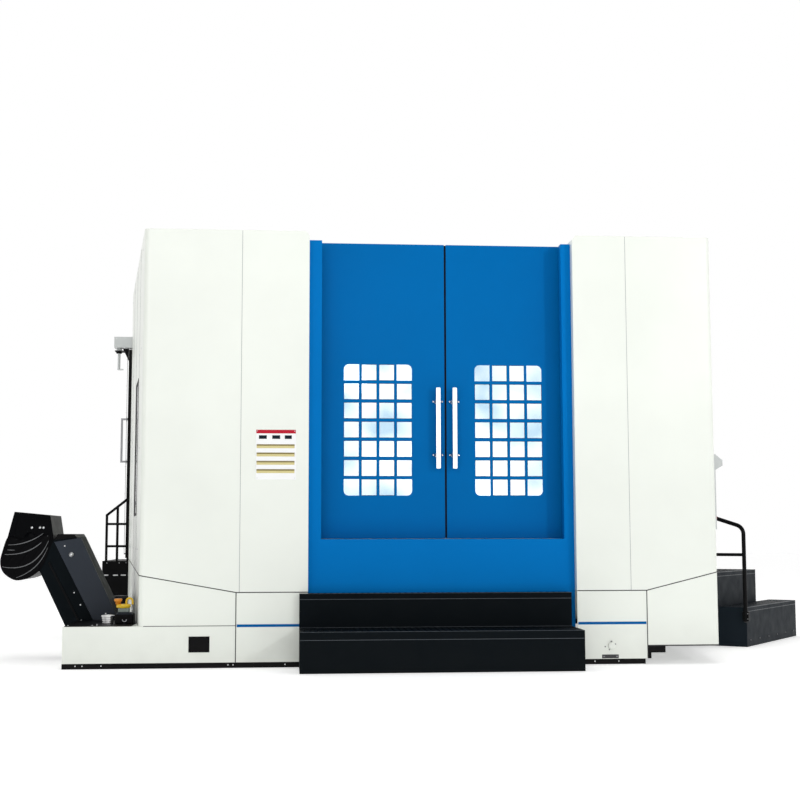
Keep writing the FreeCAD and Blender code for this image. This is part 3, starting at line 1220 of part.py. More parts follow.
def tank():
    """Coolant tank round the conveyor's trough, with a level port in its front wall."""
    wall = "tank_wall"
    end = "-left_split - seam / 2"
    near, far = "trough_front - channel_gap", "trough_front + trough_deep + channel_gap"
    outer = span("tank_block", ("-tank_left", end), (0, "tank_back"), ("plinth_top", "tank_top"))
    channel = span("tank_channel", ("-tank_left - lap", "-left_split"), (near, far),
                   ("trough_low", "tank_top + lap"))
    x = (f"-tank_left + {wall}", f"{end} - {wall}")
    z = (f"plinth_top + {wall}", f"tank_top - {wall}")
    spaces = {
        "front": (wall, f"{near} - {wall}"),
        "back": (f"{far} + {wall}", f"tank_back - {wall}"),
    }
    hollows = []
    for name, y in spaces.items():
        hollows.append(span(f"tank_hollow_{name}", x, y, z))
        hollows.append(span(f"tank_mouth_{name}", ("-left_corner + mouth_end", x[1]),
                            (f"{y[0]} + mouth_rim", f"{y[1]} - mouth_rim"),
                            (f"tank_top - 2 * {wall}", "tank_top + lap")))
    port = span("tank_port", ("-port_left", "-port_left + port_wide"), ("-lap", f"{wall} + lap"),
                ("port_low", "port_high"))
    cut("coolant_tank", outer, [channel, port] + hollows)
    pumps = []
    for number in range(2):
        at = (f"-pump_x + {number} * pump_step", f"pump_y + {number} * pump_stagger")
        top = "tank_top + pump_high - pump_cap"
        base = rod(f"pump_base_{number}", "z", (*at, "tank_top"), "pump_round", "pump_base")
        body = rod(f"pump_body_{number}", "z", (*at, "tank_top + pump_base - lap"),
                   "pump_round - pump_neck", "pump_high - pump_base - pump_cap + 2 * lap")
        cap = rod(f"pump_cap_{number}", "z", (*at, top), "pump_round - pump_rim", "pump_cap")
        pumps.append(fuse(f"pump_{number}", [base, body, cap]))
    group("coolant_pumps", pumps)


# ---- electrics and controls ------------------------------------------------------------------
def electrics():
    """Electrical cabinet on the rear wall, its hinged door and the cable gland on top."""
    x = ("locker_left", "locker_left + locker_wide")
    y = ("rear_face + fit_gap", "rear_face + fit_gap + locker_deep")
    z = ("locker_low", "locker_top")
    shell = tray("locker_shell", x, y, z, "sheet")
    spans = ((x[0], f"{x[0]} + locker_foot"), (f"{x[1]} - locker_foot", x[1]))
    feet = [span(f"locker_foot_{i}", wide, y, (0, "locker_low")) for i, wide in enumerate(spans)]
    at = (f"{x[0]} + locker_wide / 2", f"{y[0]} + locker_deep / 2")
    gland = rod("gland_collar", "z", (*at, "locker_top - sheet"), "gland_round + gland_wall",
                "gland_long")
    hole = rod("gland_hole", "z", (*at, "locker_top - 2 * sheet"), "gland_round", "gland_long + 3 * sheet")
    cut("electrical_cabinet", fuse("locker_solid", [shell, gland] + feet), [hole])
    leaf = span("locker_leaf", (f"{x[0]} + leaf_side", f"{x[1]} - leaf_side"),
                (f"{y[1]} + turn_gap", f"{y[1]} + turn_gap + leaf_thick"),
                ("locker_low + leaf_end", "locker_top - leaf_end"))
    recess = span("locker_leaf_recess",
                  (f"{x[0]} + leaf_side + sheet", f"{x[1]} - leaf_side - sheet"),
                  (y[1], f"{y[1]} + turn_gap + leaf_thick - sheet"),
                  ("locker_low + leaf_end + sheet", "locker_top - leaf_end - sheet"))
    cut("cabinet_door", leaf, [recess])


def desk_place():
    """Place of the operator's console: its foot on the flared right wall, turned with the wall."""
    return {
        "x": f"{wall_x('right', 'desk_y')} + fit_gap / cos(flare)", "y": "desk_y", "z": "desk_low",
        "axis": "z", "angle": "-flare",
    }


def console():
    """Operator's console with a visor over its face, an emergency stop and a start button."""
    points = [
        (0, 0), ("desk_deep", 0), ("desk_deep", "desk_face"), ("desk_reach", "visor_low"),
        ("desk_reach", "visor_high"), ("desk_deep", "visor_top"), (0, "desk_high"),
    ]
    body = pad("desk_block", "XZ", points, "desk_long")
    wells = []
    for number, name in enumerate(("emergency_stop", "start_button")):
        y = f"button_first + {number} * button_step"
        wells.append(rod(f"{name}_well", "x", ("desk_deep - well_deep", y, "button_low"),
                         "button_round + button_gap", "well_deep + lap"))
        knob = rod(f"{name}_knob", "x", ("desk_deep - button_in", y, "button_low"), "button_round",
                   "button_long")
        put(group(name, [knob]), **desk_place())
    put(cut("console_housing", body, wells), **desk_place())


# ---- build -----------------------------------------------------------------------------------
NODES = (
    "left_inner_panel left_corner_panel left_lower_panels left_side_panel left_side_window "
    "left_rear_wall right_inner_panel right_corner_panel right_lower_panels right_side_panel "
    "rear_casing plinth bay_posts sill_panel door_tracks door_left door_left_glass "
    "door_left_fittings door_right door_right_glass door_right_fittings front_steps right_stairs "
    "right_handrail left_platform left_rail left_door_frame left_side_door left_side_handle "
    "overhead_arm pendant_tube bed levelling_feet bed_rails table_saddle rotary_table pallet "
    "table_screw column_screw bed_drives column head_rails head_screw head_drives headstock spindle "
    "magazine_frame tool_disc changer_arm conveyor_casing conveyor_hood conveyor_shaft "
    "conveyor_drive coolant_tank coolant_pumps electrical_cabinet cabinet_door console_housing "
    "emergency_stop start_button"
).split()


def build():
    """Make every sub-part."""
    casing_front()
    casing_low()
    casing_sides()
    doc.getObject("right_side_sheet").Label = "right_side_panel"
    casing_rear()
    plinth()
    bay()
    for side in ("left", "right"):
        door_leaf(side)
        door_fittings(side)
    front_steps()
    right_stairs()
    right_handrail()
    left_deck()
    service_door()
    bed()
    levelling_feet()
    bed_rails()
    table()
    screws()
    column()
    head_drive()
    headstock()
    spindle()
    tool_changer()
    conveyor()
    tank()
    electrics()
    console()
    doc.recompute()


def check():
    """Stop if any object failed, or a sub-part is empty or invalid."""
    for item in doc.Objects:
        if {"Invalid", "Error"} & set(item.State):
            raise RuntimeError(f"{item.Label} failed: {item.State}")
    for name in NODES:
        shape = doc.getObjectsByLabel(name)[0].Shape
        if shape.isNull() or not shape.isValid() or not shape.Solids:
            raise RuntimeError(f"{name} has no valid solid")


build()
check()
os.makedirs("parts", exist_ok=True)
for name in NODES:
    doc.getObjectsByLabel(name)[0].Shape.exportStep(f"parts/{name}.step")
print(len(NODES), "sub-parts written")
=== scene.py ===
# %% [markdown]
# # A horizontal machining centre
#
# The machine is already built as a set of measured parts. Here it gets its looks: paint, steel,
# glass and rubber, and the small fittings that a maker screws on last. Everything is in metres.
# X runs to the operator's right, Y towards the back of the machine and Z up from the floor.

# %% Load the measured parts
import json
import math

import bpy
import numpy as np
from mathutils import Matrix, Vector


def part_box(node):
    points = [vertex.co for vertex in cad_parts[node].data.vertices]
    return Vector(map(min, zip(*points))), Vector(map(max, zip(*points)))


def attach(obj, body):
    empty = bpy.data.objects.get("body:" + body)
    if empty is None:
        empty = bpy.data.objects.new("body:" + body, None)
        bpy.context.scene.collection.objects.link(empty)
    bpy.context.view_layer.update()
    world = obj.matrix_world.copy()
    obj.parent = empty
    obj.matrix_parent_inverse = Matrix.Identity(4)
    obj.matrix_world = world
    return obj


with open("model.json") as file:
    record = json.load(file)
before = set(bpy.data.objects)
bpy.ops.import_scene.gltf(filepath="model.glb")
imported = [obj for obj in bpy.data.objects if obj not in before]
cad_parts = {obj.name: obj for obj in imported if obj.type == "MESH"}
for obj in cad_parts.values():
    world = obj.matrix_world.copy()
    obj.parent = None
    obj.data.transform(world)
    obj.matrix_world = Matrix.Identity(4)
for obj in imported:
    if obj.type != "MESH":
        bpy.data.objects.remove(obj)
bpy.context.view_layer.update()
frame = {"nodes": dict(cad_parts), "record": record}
nodes = frame["nodes"]
scene = bpy.context.scene


def low(node):
    """Lowest corner of a measured part."""
    return np.array(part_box(node)[0])


def high(node):
    """Highest corner of a measured part."""
    return np.array(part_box(node)[1])


# %% [markdown]
# ## Turning formulas into meshes
#
# Every new piece is worked out as numpy arrays and poured into a mesh in one go. Most of this
# machine is sheet metal and bars, so three generators go a long way: a block with rounded edges,
# a profile turned about an axis, and a round section carried along a path.

# %% Pouring arrays into meshes
def pour(name, points, faces, smooth=False):
    """A mesh object made from an array of points and an array (or list) of faces."""
    mesh = bpy.data.meshes.new(name)
    mesh.from_pydata(np.asarray(points, float).reshape(-1, 3).tolist(), [], [list(f) for f in faces])
    mesh.polygons.foreach_set("use_smooth", [smooth] * len(mesh.polygons))
    mesh.validate()
    mesh.update()
    piece = bpy.data.objects.new(name, mesh)
    scene.collection.objects.link(piece)
    return piece


def ring_faces(rings, around, closed_ends=True):
    """Quads between neighbouring rings of points, and a flat face on each end."""
    i, k = np.meshgrid(np.arange(rings - 1), np.arange(around), indexing="ij")
    a = i * around + k
    b = i * around + (k + 1) % around
    faces = np.stack([a, b, b + around, a + around], -1).reshape(-1, 4).tolist()
    if closed_ends:
        faces.append(list(range(around - 1, -1, -1)))
        faces.append(list(range((rings - 1) * around, rings * around)))
    return faces


class Batch:
    """Collects many small shapes and pours them out as one piece."""

    def __init__(self):
        self.points, self.faces, self.smooth, self.count = [], [], [], 0

    def add(self, points, faces, smooth=False):
        points = np.asarray(points, float).reshape(-1, 3)
        self.points.append(points)
        self.faces += [[i + self.count for i in face] for face in faces]
        self.smooth += [smooth] * len(faces)
        self.count += len(points)
        return self

    def block(self, start, end, edge=0.0):
        """A block between two corners. Its edges are cut back at 45 degrees by edge: each of the
        eight corners becomes three points, one pushed inwards along each of two axes."""
        start, end = np.minimum(start, end).astype(float), np.maximum(start, end).astype(float)
        middle, half = (start + end) / 2, (end - start) / 2
        edge = min(edge, *(half * 0.49))
        signs = np.array([[x, y, z] for x in (-1, 1) for y in (-1, 1) for z in (-1, 1)], float)
        if edge <= 0:
            points = middle + signs * half
            faces = [[0, 1, 3, 2], [4, 6, 7, 5], [0, 4, 5, 1], [2, 3, 7, 6], [0, 2, 6, 4], [1, 5, 7, 3]]
        else:
            points = np.concatenate([middle + signs * (half - edge * (1 - np.eye(3)[axis]))
                                     for axis in range(3)])
            index = {tuple(s): n for n, s in enumerate(signs.astype(int).tolist())}

            def corner(axis, side, du, dv):
                """Number of the corner with these signs along axis and the two axes after it."""
                return index[tuple(np.roll([side, du, dv], axis).tolist())]

            faces = []
            for axis in range(3):
                for side in (-1, 1):
                    ring = [axis * 8 + corner(axis, side, du, dv)
                            for du, dv in ((-1, -1), (1, -1), (1, 1), (-1, 1))]
                    faces.append(ring if side > 0 else ring[::-1])
            for axis in range(3):
                u, v = (axis + 1) % 3, (axis + 2) % 3
                for du in (-1, 1):
                    for dv in (-1, 1):
                        a, b = corner(axis, -1, du, dv), corner(axis, 1, du, dv)
                        ring = [u * 8 + a, u * 8 + b, v * 8 + b, v * 8 + a]
                        faces.append(ring if du * dv < 0 else ring[::-1])
            for s, n in index.items():
                ring = [n, 8 + n, 16 + n]
                faces.append(ring if np.prod(s) > 0 else ring[::-1])
        return self.add(points, faces)

    def lathe(self, base, axis, profile, around=24, smooth=True):
        """A profile of (distance along, radius) pairs turned about an axis through base:
        point = base + axis * along + radius * (u * cos(angle) + v * sin(angle))."""
        axis = np.asarray(axis, float) / np.linalg.norm(axis)
        helper = np.array([0, 0, 1.0]) if abs(axis[2]) < 0.9 else np.array([1.0, 0, 0])
        u = np.cross(helper, axis)
        u /= np.linalg.norm(u)
        v = np.cross(axis, u)
        angle = np.linspace(0, 2 * math.pi, around, endpoint=False)
        circle = np.cos(angle)[:, None] * u + np.sin(angle)[:, None] * v
        profile = np.asarray(profile, float)
        points = (np.asarray(base, float) + profile[:, :1, None] * axis
                  + profile[:, 1, None, None] * circle[None])
        return self.add(points, ring_faces(len(profile), around), smooth)

    def tube(self, path, radius, around=10, smooth=True):
        """A round section carried along a path. Each ring stands square to the path's direction,
        and its first spoke is carried on from the ring before, so the skin does not twist."""
        path = np.asarray(path, float)
        ahead = np.gradient(path, axis=0)
        ahead /= np.linalg.norm(ahead, axis=1)[:, None]
        spoke = np.cross(ahead[0], [0.31, 0.52, 0.79])
        rings = []
        angle = np.linspace(0, 2 * math.pi, around, endpoint=False)
        for centre, direction in zip(path, ahead):
            spoke = spoke - direction * (spoke @ direction)
            spoke /= np.linalg.norm(spoke)
            other = np.cross(direction, spoke)
            circle = np.cos(angle)[:, None] * spoke + np.sin(angle)[:, None] * other
            rings.append(centre + radius * circle)
        return self.add(np.array(rings), ring_faces(len(path), around), smooth)

    def bolt(self, spot, axis, size=0.012, tall=0.007):
        """A hexagon screw head with a flat washer under it."""
        wide = size * 0.75
        self.lathe(spot, axis, [(0, wide), (tall * 0.22, wide), (tall * 0.25, wide * 0.9)], 14, False)
        return self.lathe(spot, axis, [(tall * 0.2, size * 0.58), (tall * 0.85, size * 0.58),
                                       (tall, size * 0.46)], 6, False)

    def done(self, name, finish, body="machine_frame", slot=None):
        """Pour the batch out as a piece with a finish, riding on a body."""
        piece = pour(name, np.concatenate(self.points), self.faces)
        if len(piece.data.polygons) == len(self.smooth):
            piece.data.polygons.foreach_set("use_smooth", self.smooth)
        piece.data.materials.append(finish)
        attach(piece, body)
        print(f"{name}: {len(piece.data.polygons)} faces")
        return piece


def one_block(name, finish, start, end, edge=0.0, body="machine_frame"):
    """A piece that is a single block."""
    return Batch().block(start, end, edge).done(name, finish, body)


def turned(name, finish, spots, axis, profile, around=24, smooth=True, body="machine_frame"):
    """A piece that is one profile turned at each of several spots."""
    made = Batch()
    for spot in spots:
        made.lathe(spot, axis, profile, around, smooth)
    return made.done(name, finish, body)


def bolted(name, finish, spots, axis, size, tall):
    """A piece that is a row of equal bolts."""
    made = Batch()
    for spot in spots:
        made.bolt(spot, axis, size, tall)
    return made.done(name, finish)


def four_bars(a0, a1, b0, b1, wide):
    """Spans in two directions of the bars along the four edges of a rectangle."""
    return ((a0, a1, b0, b0 + wide), (a0, a1, b1 - wide, b1),
            (a0, a0 + wide, b0, b1), (a1 - wide, a1, b0, b1))


# %% [markdown]
# ## Finishes
#
# Powder coat is a thin plastic skin: an even colour, a soft gloss and a very fine orange-peel
# texture that only shows in the highlights. A little dust settles near the floor. One recipe with
# a few numbers serves all the painted pieces, so the paints look as if they came from one shop.

# %% A recipe for paint
def start_finish(name):
    """A new material: its nodes, its links, its shader and a reading of Object coordinates."""
    made = bpy.data.materials.new(name)
    made.use_nodes = True
    tree = made.node_tree
    shader = tree.nodes["Principled BSDF"]
    place = tree.nodes.new("ShaderNodeTexCoord")
    return made, tree, shader, place.outputs["Object"]


def noise(tree, place, scale, detail=3.0, stretch=None):
    """Noise read at a number of blobs per metre, stretched along an axis if asked."""
    made = tree.nodes.new("ShaderNodeTexNoise")
    made.inputs["Scale"].default_value = scale
    made.inputs["Detail"].default_value = detail
    if stretch:
        mapping = tree.nodes.new("ShaderNodeMapping")
        mapping.inputs["Scale"].default_value = stretch
        tree.links.new(place, mapping.inputs["Vector"])
        place = mapping.outputs["Vector"]
    tree.links.new(place, made.inputs["Vector"])
    return made.outputs["Fac"]


def spread(tree, value, start, end, low_value=0.0, high_value=1.0):
    """Stretch a value from one range to another, held at the ends."""
    made = tree.nodes.new("ShaderNodeMapRange")
    ends = (("From Min", start), ("From Max", end), ("To Min", low_value), ("To Max", high_value))
    for name, number in ends:
        made.inputs[name].default_value = number
    tree.links.new(value, made.inputs["Value"])
    return made.outputs["Result"]


def mix_colour(tree, share, first, second):
    """Mix two colours (numbers or sockets) by a share."""
    made = tree.nodes.new("ShaderNodeMix")
    made.data_type = "RGBA"
    tree.links.new(share, made.inputs["Factor"])
    for socket, colour in (("A", first), ("B", second)):
        target = [s for s in made.inputs if s.name == socket and s.type == "RGBA"][0]
        if isinstance(colour, (tuple, list)):
            target.default_value = (*colour, 1)
        else:
            tree.links.new(colour, target)
    return [s for s in made.outputs if s.type == "RGBA"][0]


def shades(colour, shift):
    """A colour made a little darker and a little lighter."""
    return [c * (1 - shift) for c in colour], [min(1, c * (1 + shift)) for c in colour]


def bump(tree, shader, height, depth, strength=1.0):
    """Press a height pattern into the surface; depth is in metres."""
    made = tree.nodes.new("ShaderNodeBump")
    made.inputs["Strength"].default_value = strength
    made.inputs["Distance"].default_value = depth
    tree.links.new(height, made.inputs["Height"])
    tree.links.new(made.outputs["Normal"], shader.inputs["Normal"])


def height_of(tree, place):
    """The Z part of a position."""
    made = tree.nodes.new("ShaderNodeSeparateXYZ")
    tree.links.new(place, made.inputs["Vector"])
    return made.outputs["Z"]


def paint(name, colour, rough=0.34, peel=0.00006, peel_scale=420, shift=0.03, dust=0.2, gloss=0.5):
    """Powder coat: colour that drifts a little, roughness that varies, orange peel, dusty foot."""
    made, tree, shader, place = start_finish(name)
    drift = spread(tree, noise(tree, place, 1.1, 4), 0.3, 0.7)
    base = mix_colour(tree, drift, *shades(colour, shift))
    if dust:
        grime = noise(tree, place, 6.0, 6)
        floor_share = spread(tree, height_of(tree, place), 0.0, 0.45, dust, 0.0)
        product = tree.nodes.new("ShaderNodeMath")
        product.operation = "MULTIPLY"
        tree.links.new(grime, product.inputs[0])
        tree.links.new(floor_share, product.inputs[1])
        base = mix_colour(tree, product.outputs[0], base, (0.24, 0.22, 0.19))
    tree.links.new(base, shader.inputs["Base Color"])
    rough_map = spread(tree, noise(tree, place, 9, 5), 0.25, 0.75, rough * 0.85, min(1, rough * 1.2))
    tree.links.new(rough_map, shader.inputs["Roughness"])
    bump(tree, shader, noise(tree, place, peel_scale, 1.5), peel)
    shader.inputs["Specular IOR Level"].default_value = gloss
    return made


TEXTURED = {"peel": 0.0002, "peel_scale": 260}
white = paint("casing_white", (0.80, 0.83, 0.77), 0.33, gloss=0.4)
bay_blue = paint("bay_blue", (0.0003, 0.160, 0.485), 0.34, gloss=0.02, dust=0.05)
door_blue = paint("door_blue", (0.0002, 0.130, 0.395), 0.34, gloss=0.02, dust=0.05)
line_blue = paint("line_blue", (0.0005, 0.10, 0.33), 0.35, gloss=0.05, dust=0)
navy = paint("step_navy", (0.0016, 0.0036, 0.0052), 0.48, gloss=0.05, dust=0.012, **TEXTURED)
stair_navy = paint("stair_navy", (0.0085, 0.0130, 0.0180), 0.46, shift=0.01, gloss=0.04, dust=0.004,
                   **TEXTURED)
slate = paint("conveyor_slate", (0.0145, 0.0210, 0.0330), 0.40, gloss=0.25, dust=0.06, **TEXTURED)
black = paint("black_paint", (0.002, 0.002, 0.0025), 0.40, gloss=0.08, dust=0.015)
light_grey = paint("light_grey", (0.56, 0.58, 0.58), 0.36)
gloss_black = paint("gloss_black", (0.0008, 0.0010, 0.0016), 0.30, dust=0, gloss=0.04)
motor_black = paint("motor_black", (0.016, 0.016, 0.018), 0.42, gloss=0.35)
grey_green = paint("pump_grey_green", (0.22, 0.27, 0.24), 0.38, dust=0)
orange = paint("pump_orange", (0.75, 0.27, 0.02), 0.35, dust=0)
casting = paint("casting_grey", (0.20, 0.235, 0.24), 0.45, peel=0.0009, peel_scale=90)

# %% [markdown]
# ## Metals
#
# Bare steel is told apart by its scratches. Ground ways are scratched one way and nearly mirror
# bright, turned parts have rings, and a zinc coat has pale spangles. The scratches are noise that
# is stretched along the tool's path until it turns into lines.


# %% Bare metals
def metal(name, colour, rough, stretch=(1, 1, 40), scale=30, depth=0.00008, shift=0.06):
    """Bare metal with a brushed grain: noise squeezed across the brushing direction."""
    made, tree, shader, place = start_finish(name)
    shader.inputs["Metallic"].default_value = 1
    grain = noise(tree, place, scale, 4, stretch)
    base = mix_colour(tree, grain, *shades(colour, shift))
    tree.links.new(base, shader.inputs["Base Color"])
    tree.links.new(spread(tree, grain, 0.2, 0.8, rough * 0.75, rough * 1.3), shader.inputs["Roughness"])
    bump(tree, shader, grain, depth)
    return made


bright = metal("bright_steel", (0.80, 0.80, 0.80), 0.16, (30, 30, 1), 20)
ground = metal("ground_steel", (0.60, 0.61, 0.62), 0.24, (1, 12, 1), 60)
zinc = metal("galvanised", (0.52, 0.54, 0.56), 0.38, (1, 1, 1), 45, 0.0001, 0.12)
pale_alloy = metal("pale_alloy", (0.88, 0.88, 0.87), 0.45, (1, 1, 1), 60)
dark_steel = metal("dark_steel", (0.22, 0.22, 0.23), 0.35, (1, 1, 1), 80)
stainless = metal("stainless", (0.66, 0.67, 0.68), 0.3, (1, 60, 1), 12)

# %% [markdown]
# ## Glass, rubber and plastic
#
# The door windows are laminated glass with a bright film on the inside, so by day they mirror the
# hall more than they show the work. Rubber and moulded plastic are matt, with a slight texture
# from the mould. A lamp's cover glows evenly.


# %% Glass, rubber, plastic and lamps
def glass(name, tint, mirror, alpha, rough=0.03):
    """Filmed glass: a share of mirror, a share of see-through, and a slow waviness. The colour drifts in
    large blobs between a dark blue-grey and the tint, which is painted reflection of the hall.
    """
    made, tree, shader, place = start_finish(name)
    # Painted reflection: large blobs of a darker and a paler tint in the colour of the pane.
    drift = spread(tree, noise(tree, place, 1.9, 2), 0.36, 0.60)
    base = mix_colour(tree, drift, [c * f for c, f in zip(tint, (0.42, 0.54, 0.63))], list(tint))
    tree.links.new(base, shader.inputs["Base Color"])
    shader.inputs["Metallic"].default_value = mirror
    haze = spread(tree, noise(tree, place, 4, 3), 0.3, 0.7, rough, rough * 2)
    tree.links.new(haze, shader.inputs["Roughness"])
    shader.inputs["Alpha"].default_value = alpha
    bump(tree, shader, noise(tree, place, 2.2, 1), 0.0012)
    made.use_backface_culling = False
    return made


def plastic(name, colour, rough=0.5, grain=600, depth=0.00015):
    """Moulded plastic or rubber with a fine grain from the mould."""
    made, tree, shader, place = start_finish(name)
    drift = noise(tree, place, 14, 3)
    base = mix_colour(tree, drift, *shades(colour, 0.1))
    tree.links.new(base, shader.inputs["Base Color"])
    tree.links.new(spread(tree, drift, 0.2, 0.8, rough * 0.85, rough * 1.15), shader.inputs["Roughness"])
    bump(tree, shader, noise(tree, place, grain, 2), depth)
    return made


def lamp(name, colour, power):
    """A diffuse lamp cover that glows."""
    made, tree, shader, place = start_finish(name)
    base = mix_colour(tree, noise(tree, place, 30, 2), [c * 0.9 for c in colour], list(colour))
    tree.links.new(base, shader.inputs["Base Color"])
    shader.inputs["Roughness"].default_value = 0.4
    shader.inputs["Emission Color"].default_value = (*colour, 1)
    shader.inputs["Emission Strength"].default_value = power
    return made


window_glass = glass("window_glass", (0.80, 0.86, 0.89), 0.9, 0.86)
smoked_glass = glass("smoked_glass", (0.10, 0.11, 0.12), 0.3, 0.9, 0.06)
rubber = plastic("rubber_black", (0.012, 0.012, 0.013), 0.65, 300, 0.0003)
plastic_black = plastic("plastic_black", (0.02, 0.02, 0.022), 0.45)
plastic_grey = plastic("plastic_grey", (0.30, 0.31, 0.32), 0.5)
stop_red = plastic("stop_red", (0.60, 0.01, 0.01), 0.28)
start_green = plastic("start_green", (0.01, 0.30, 0.06), 0.28)
yellow = plastic("plastic_yellow", (0.85, 0.55, 0.02), 0.35)
lamp_white = lamp("lamp_white", (1.0, 0.98, 0.94), 2.2)

SLOT_FINISH = {
    "casing_white": white, "bay_blue": bay_blue, "door_blue": door_blue, "window_glass": window_glass,
    "bright_steel": bright, "step_navy": navy, "black_paint": black, "light_grey": light_grey,
    "galvanised": zinc, "casting_grey": casting, "ground_steel": ground, "motor_black": motor_black,
    "pump_orange": orange, "stop_red": stop_red, "start_green": start_green,
}


def dress(node, finish):
    """Give a measured part a finish in place of the plain one that it came with."""
    nodes[node].data.materials.clear()
    nodes[node].data.materials.append(finish)


for row in frame["record"]["subparts"]:
    dress(row["node"], SLOT_FINISH[row["material_slot"]])
dress("conveyor_hood", gloss_black)
dress("left_side_window", smoked_glass)
dress("right_stairs", stair_navy)
dress("left_side_handle", dark_steel)
print("finishes:", len(bpy.data.materials))

# %% [markdown]
# ## Joint strips and the casing's small marks
#
# The casing is folded sheet, and its panels meet at narrow joints that are closed with a dark
# rubber strip. On the real machine the strip is pushed in after the panels are hung. A strip is a
# flat section carried along a path, so one short generator makes the straight joints and the
# sloping one that runs round the corner and back along the flared wall.


# %% A flat strip along a path
def ribbon(batch, path, out, wide, tall):
    """A rectangular section carried along a path: across = out x ahead, and the section runs from
    the surface (0) outwards to tall, half of wide to each side."""
    path = np.asarray(path, float)
    out = np.broadcast_to(np.asarray(out, float), path.shape)
    ahead = np.gradient(path, axis=0)
    ahead /= np.linalg.norm(ahead, axis=1)[:, None]
    across = np.cross(out, ahead)
    across /= np.linalg.norm(across, axis=1)[:, None]
    corners = [(-wide / 2, 0.0), (wide / 2, 0.0), (wide / 2, tall), (-wide / 2, tall)]
    rings = np.stack([path + across * a + out * b for a, b in corners], 1)
    return batch.add(rings, ring_faces(len(path), 4))


# %% A flat plate with eased edges
def plate_piece(batch, corners, y, thick, edge=0.002):
    """A flat plate on the side of the casing: a polygon in X and Z, raised towards the front, with
    its front face drawn in by edge so the rim catches light."""
    corners = np.asarray(corners, float)
    middle = corners.mean(0)
    inwards = middle - corners
    inner = corners + inwards / np.linalg.norm(inwards, axis=1)[:, None] * edge * 1.5
    rings = [np.column_stack([corners[:, 0], np.full(len(corners), y), corners[:, 1]]),
             np.column_stack([corners[:, 0], np.full(len(corners), y - thick + edge), corners[:, 1]]),
             np.column_stack([inner[:, 0], np.full(len(corners), y - thick), inner[:, 1]])]
    area = np.sum(corners[:, 0] * np.roll(corners[:, 1], -1) - np.roll(corners[:, 0], -1) * corners[:, 1])
    faces = ring_faces(3, len(corners))
    if area < 0:
        faces = [face[::-1] for face in faces]
    return batch.add(np.array(rings), faces)


# %% Where the casing's joints are
CASING = {
    -1: {"joint": 1.6745, "split": 1.700, "corner": 2.480, "rise": 0.140, "bay": 1.1175},
    1: {"joint": 1.5655, "split": 1.6965, "corner": 2.305, "rise": 0.150, "bay": 1.1085},
}
TOP, SEAM_Z, ROUND, WALL_RUN, REAR_Y = 3.600, 0.602, 0.045, 3.116, 5.150
STRIP_WIDE, STRIP_TALL = 0.0075, 0.0012
SCREW_DOME = [(0, 0.0075), (0.0018, 0.0065), (0.0026, 0.0035)]
for side, place in CASING.items():
    wall = high("right_side_panel")[0] if side > 0 else -low("left_side_panel")[0]
    place["slope"] = (wall - place["corner"]) / WALL_RUN
    place["angle"] = math.atan(place["slope"])
    print("side", side, "wall flares", round(math.degrees(place["angle"]), 2), "degrees")


def wall_x(side, y):
    """X of a side wall's outer face at a distance back from the front."""
    return side * (CASING[side]["corner"] + y * CASING[side]["slope"])


def seam_rise(side, x):
    """How far the sloping joint has climbed at x."""
    place = CASING[side]
    return place["rise"] * (np.abs(x) - place["split"]) / (place["corner"] - place["split"])


def corner_path(side):
    """Plan of the corner from its flat front to the end of the side wall: a straight front, an arc
    of radius ROUND, and the flared wall. Returns points in plan and outward directions."""
    place = CASING[side]
    turn = math.pi / 2 - place["angle"]
    set_back = ROUND * math.tan(turn / 2)
    angle = np.linspace(0, turn, 9)
    centre = np.array([place["corner"] - set_back, ROUND])
    arc = centre + ROUND * np.stack([np.sin(angle), -np.cos(angle)], 1)
    out = np.stack([np.sin(angle), -np.cos(angle)], 1)
    run = np.linspace(0.12, WALL_RUN, 14)
    wall = np.stack([place["corner"] + run * place["slope"], run], 1)
    wall_out = np.repeat([[math.cos(place["angle"]), -math.sin(place["angle"])]], len(run), 0)
    front = np.array([[place["split"], 0.0]])
    plan = np.concatenate([front, arc, wall])
    outward = np.concatenate([[[0.0, -1.0]], out, wall_out])
    plan[:, 0] *= side
    outward[:, 0] *= side
    return plan, outward


# %% The strips
strips, faint = Batch(), Batch()
for side, place in CASING.items():
    plan, outward = corner_path(side)
    path = np.column_stack([plan, SEAM_Z + seam_rise(side, plan[:, 0])])
    out = np.column_stack([outward, np.zeros(len(outward))])
    ribbon(strips, path, out, STRIP_WIDE, STRIP_TALL)
    bay, split, joint = (side * place[key] for key in ("bay", "split", "joint"))
    ribbon(strips, [[bay, 0, SEAM_Z], [split, 0, SEAM_Z]], [0, -1, 0], STRIP_WIDE, STRIP_TALL)
    ribbon(strips, [[split, 0, 0.045], [split, 0, 0.6]], [0, -1, 0], STRIP_WIDE, STRIP_TALL)
    ribbon(faint, [[joint, 0, 0.607], [joint, 0, TOP - 0.004]], [0, -1, 0], 0.0035, 0.0004)
ribbon(strips, [[-2.44, 0, 0.3355], [-1.704, 0, 0.3355]], [0, -1, 0], 0.005, 0.0010)
plan, outward = corner_path(1)
low_path = np.column_stack([plan, np.full(len(plan), 0.148)])
ribbon(strips, low_path, np.column_stack([outward, np.zeros(len(outward))]), 0.010, STRIP_TALL)
strips.done("joint_strips", rubber)
faint.done("upper_joint_strips", plastic_grey)

# %% Coloured lines, and the bright plate with its plain bars
lines = Batch()
for side, place in CASING.items():
    ends = sorted([side * (place["bay"] + 0.006), side * (place["split"] - 0.008)])
    lines.block((ends[0], -0.0009, 0.324), (ends[1], 0.0002, 0.346), 0.0003)
lines.done("base_lines", line_blue)

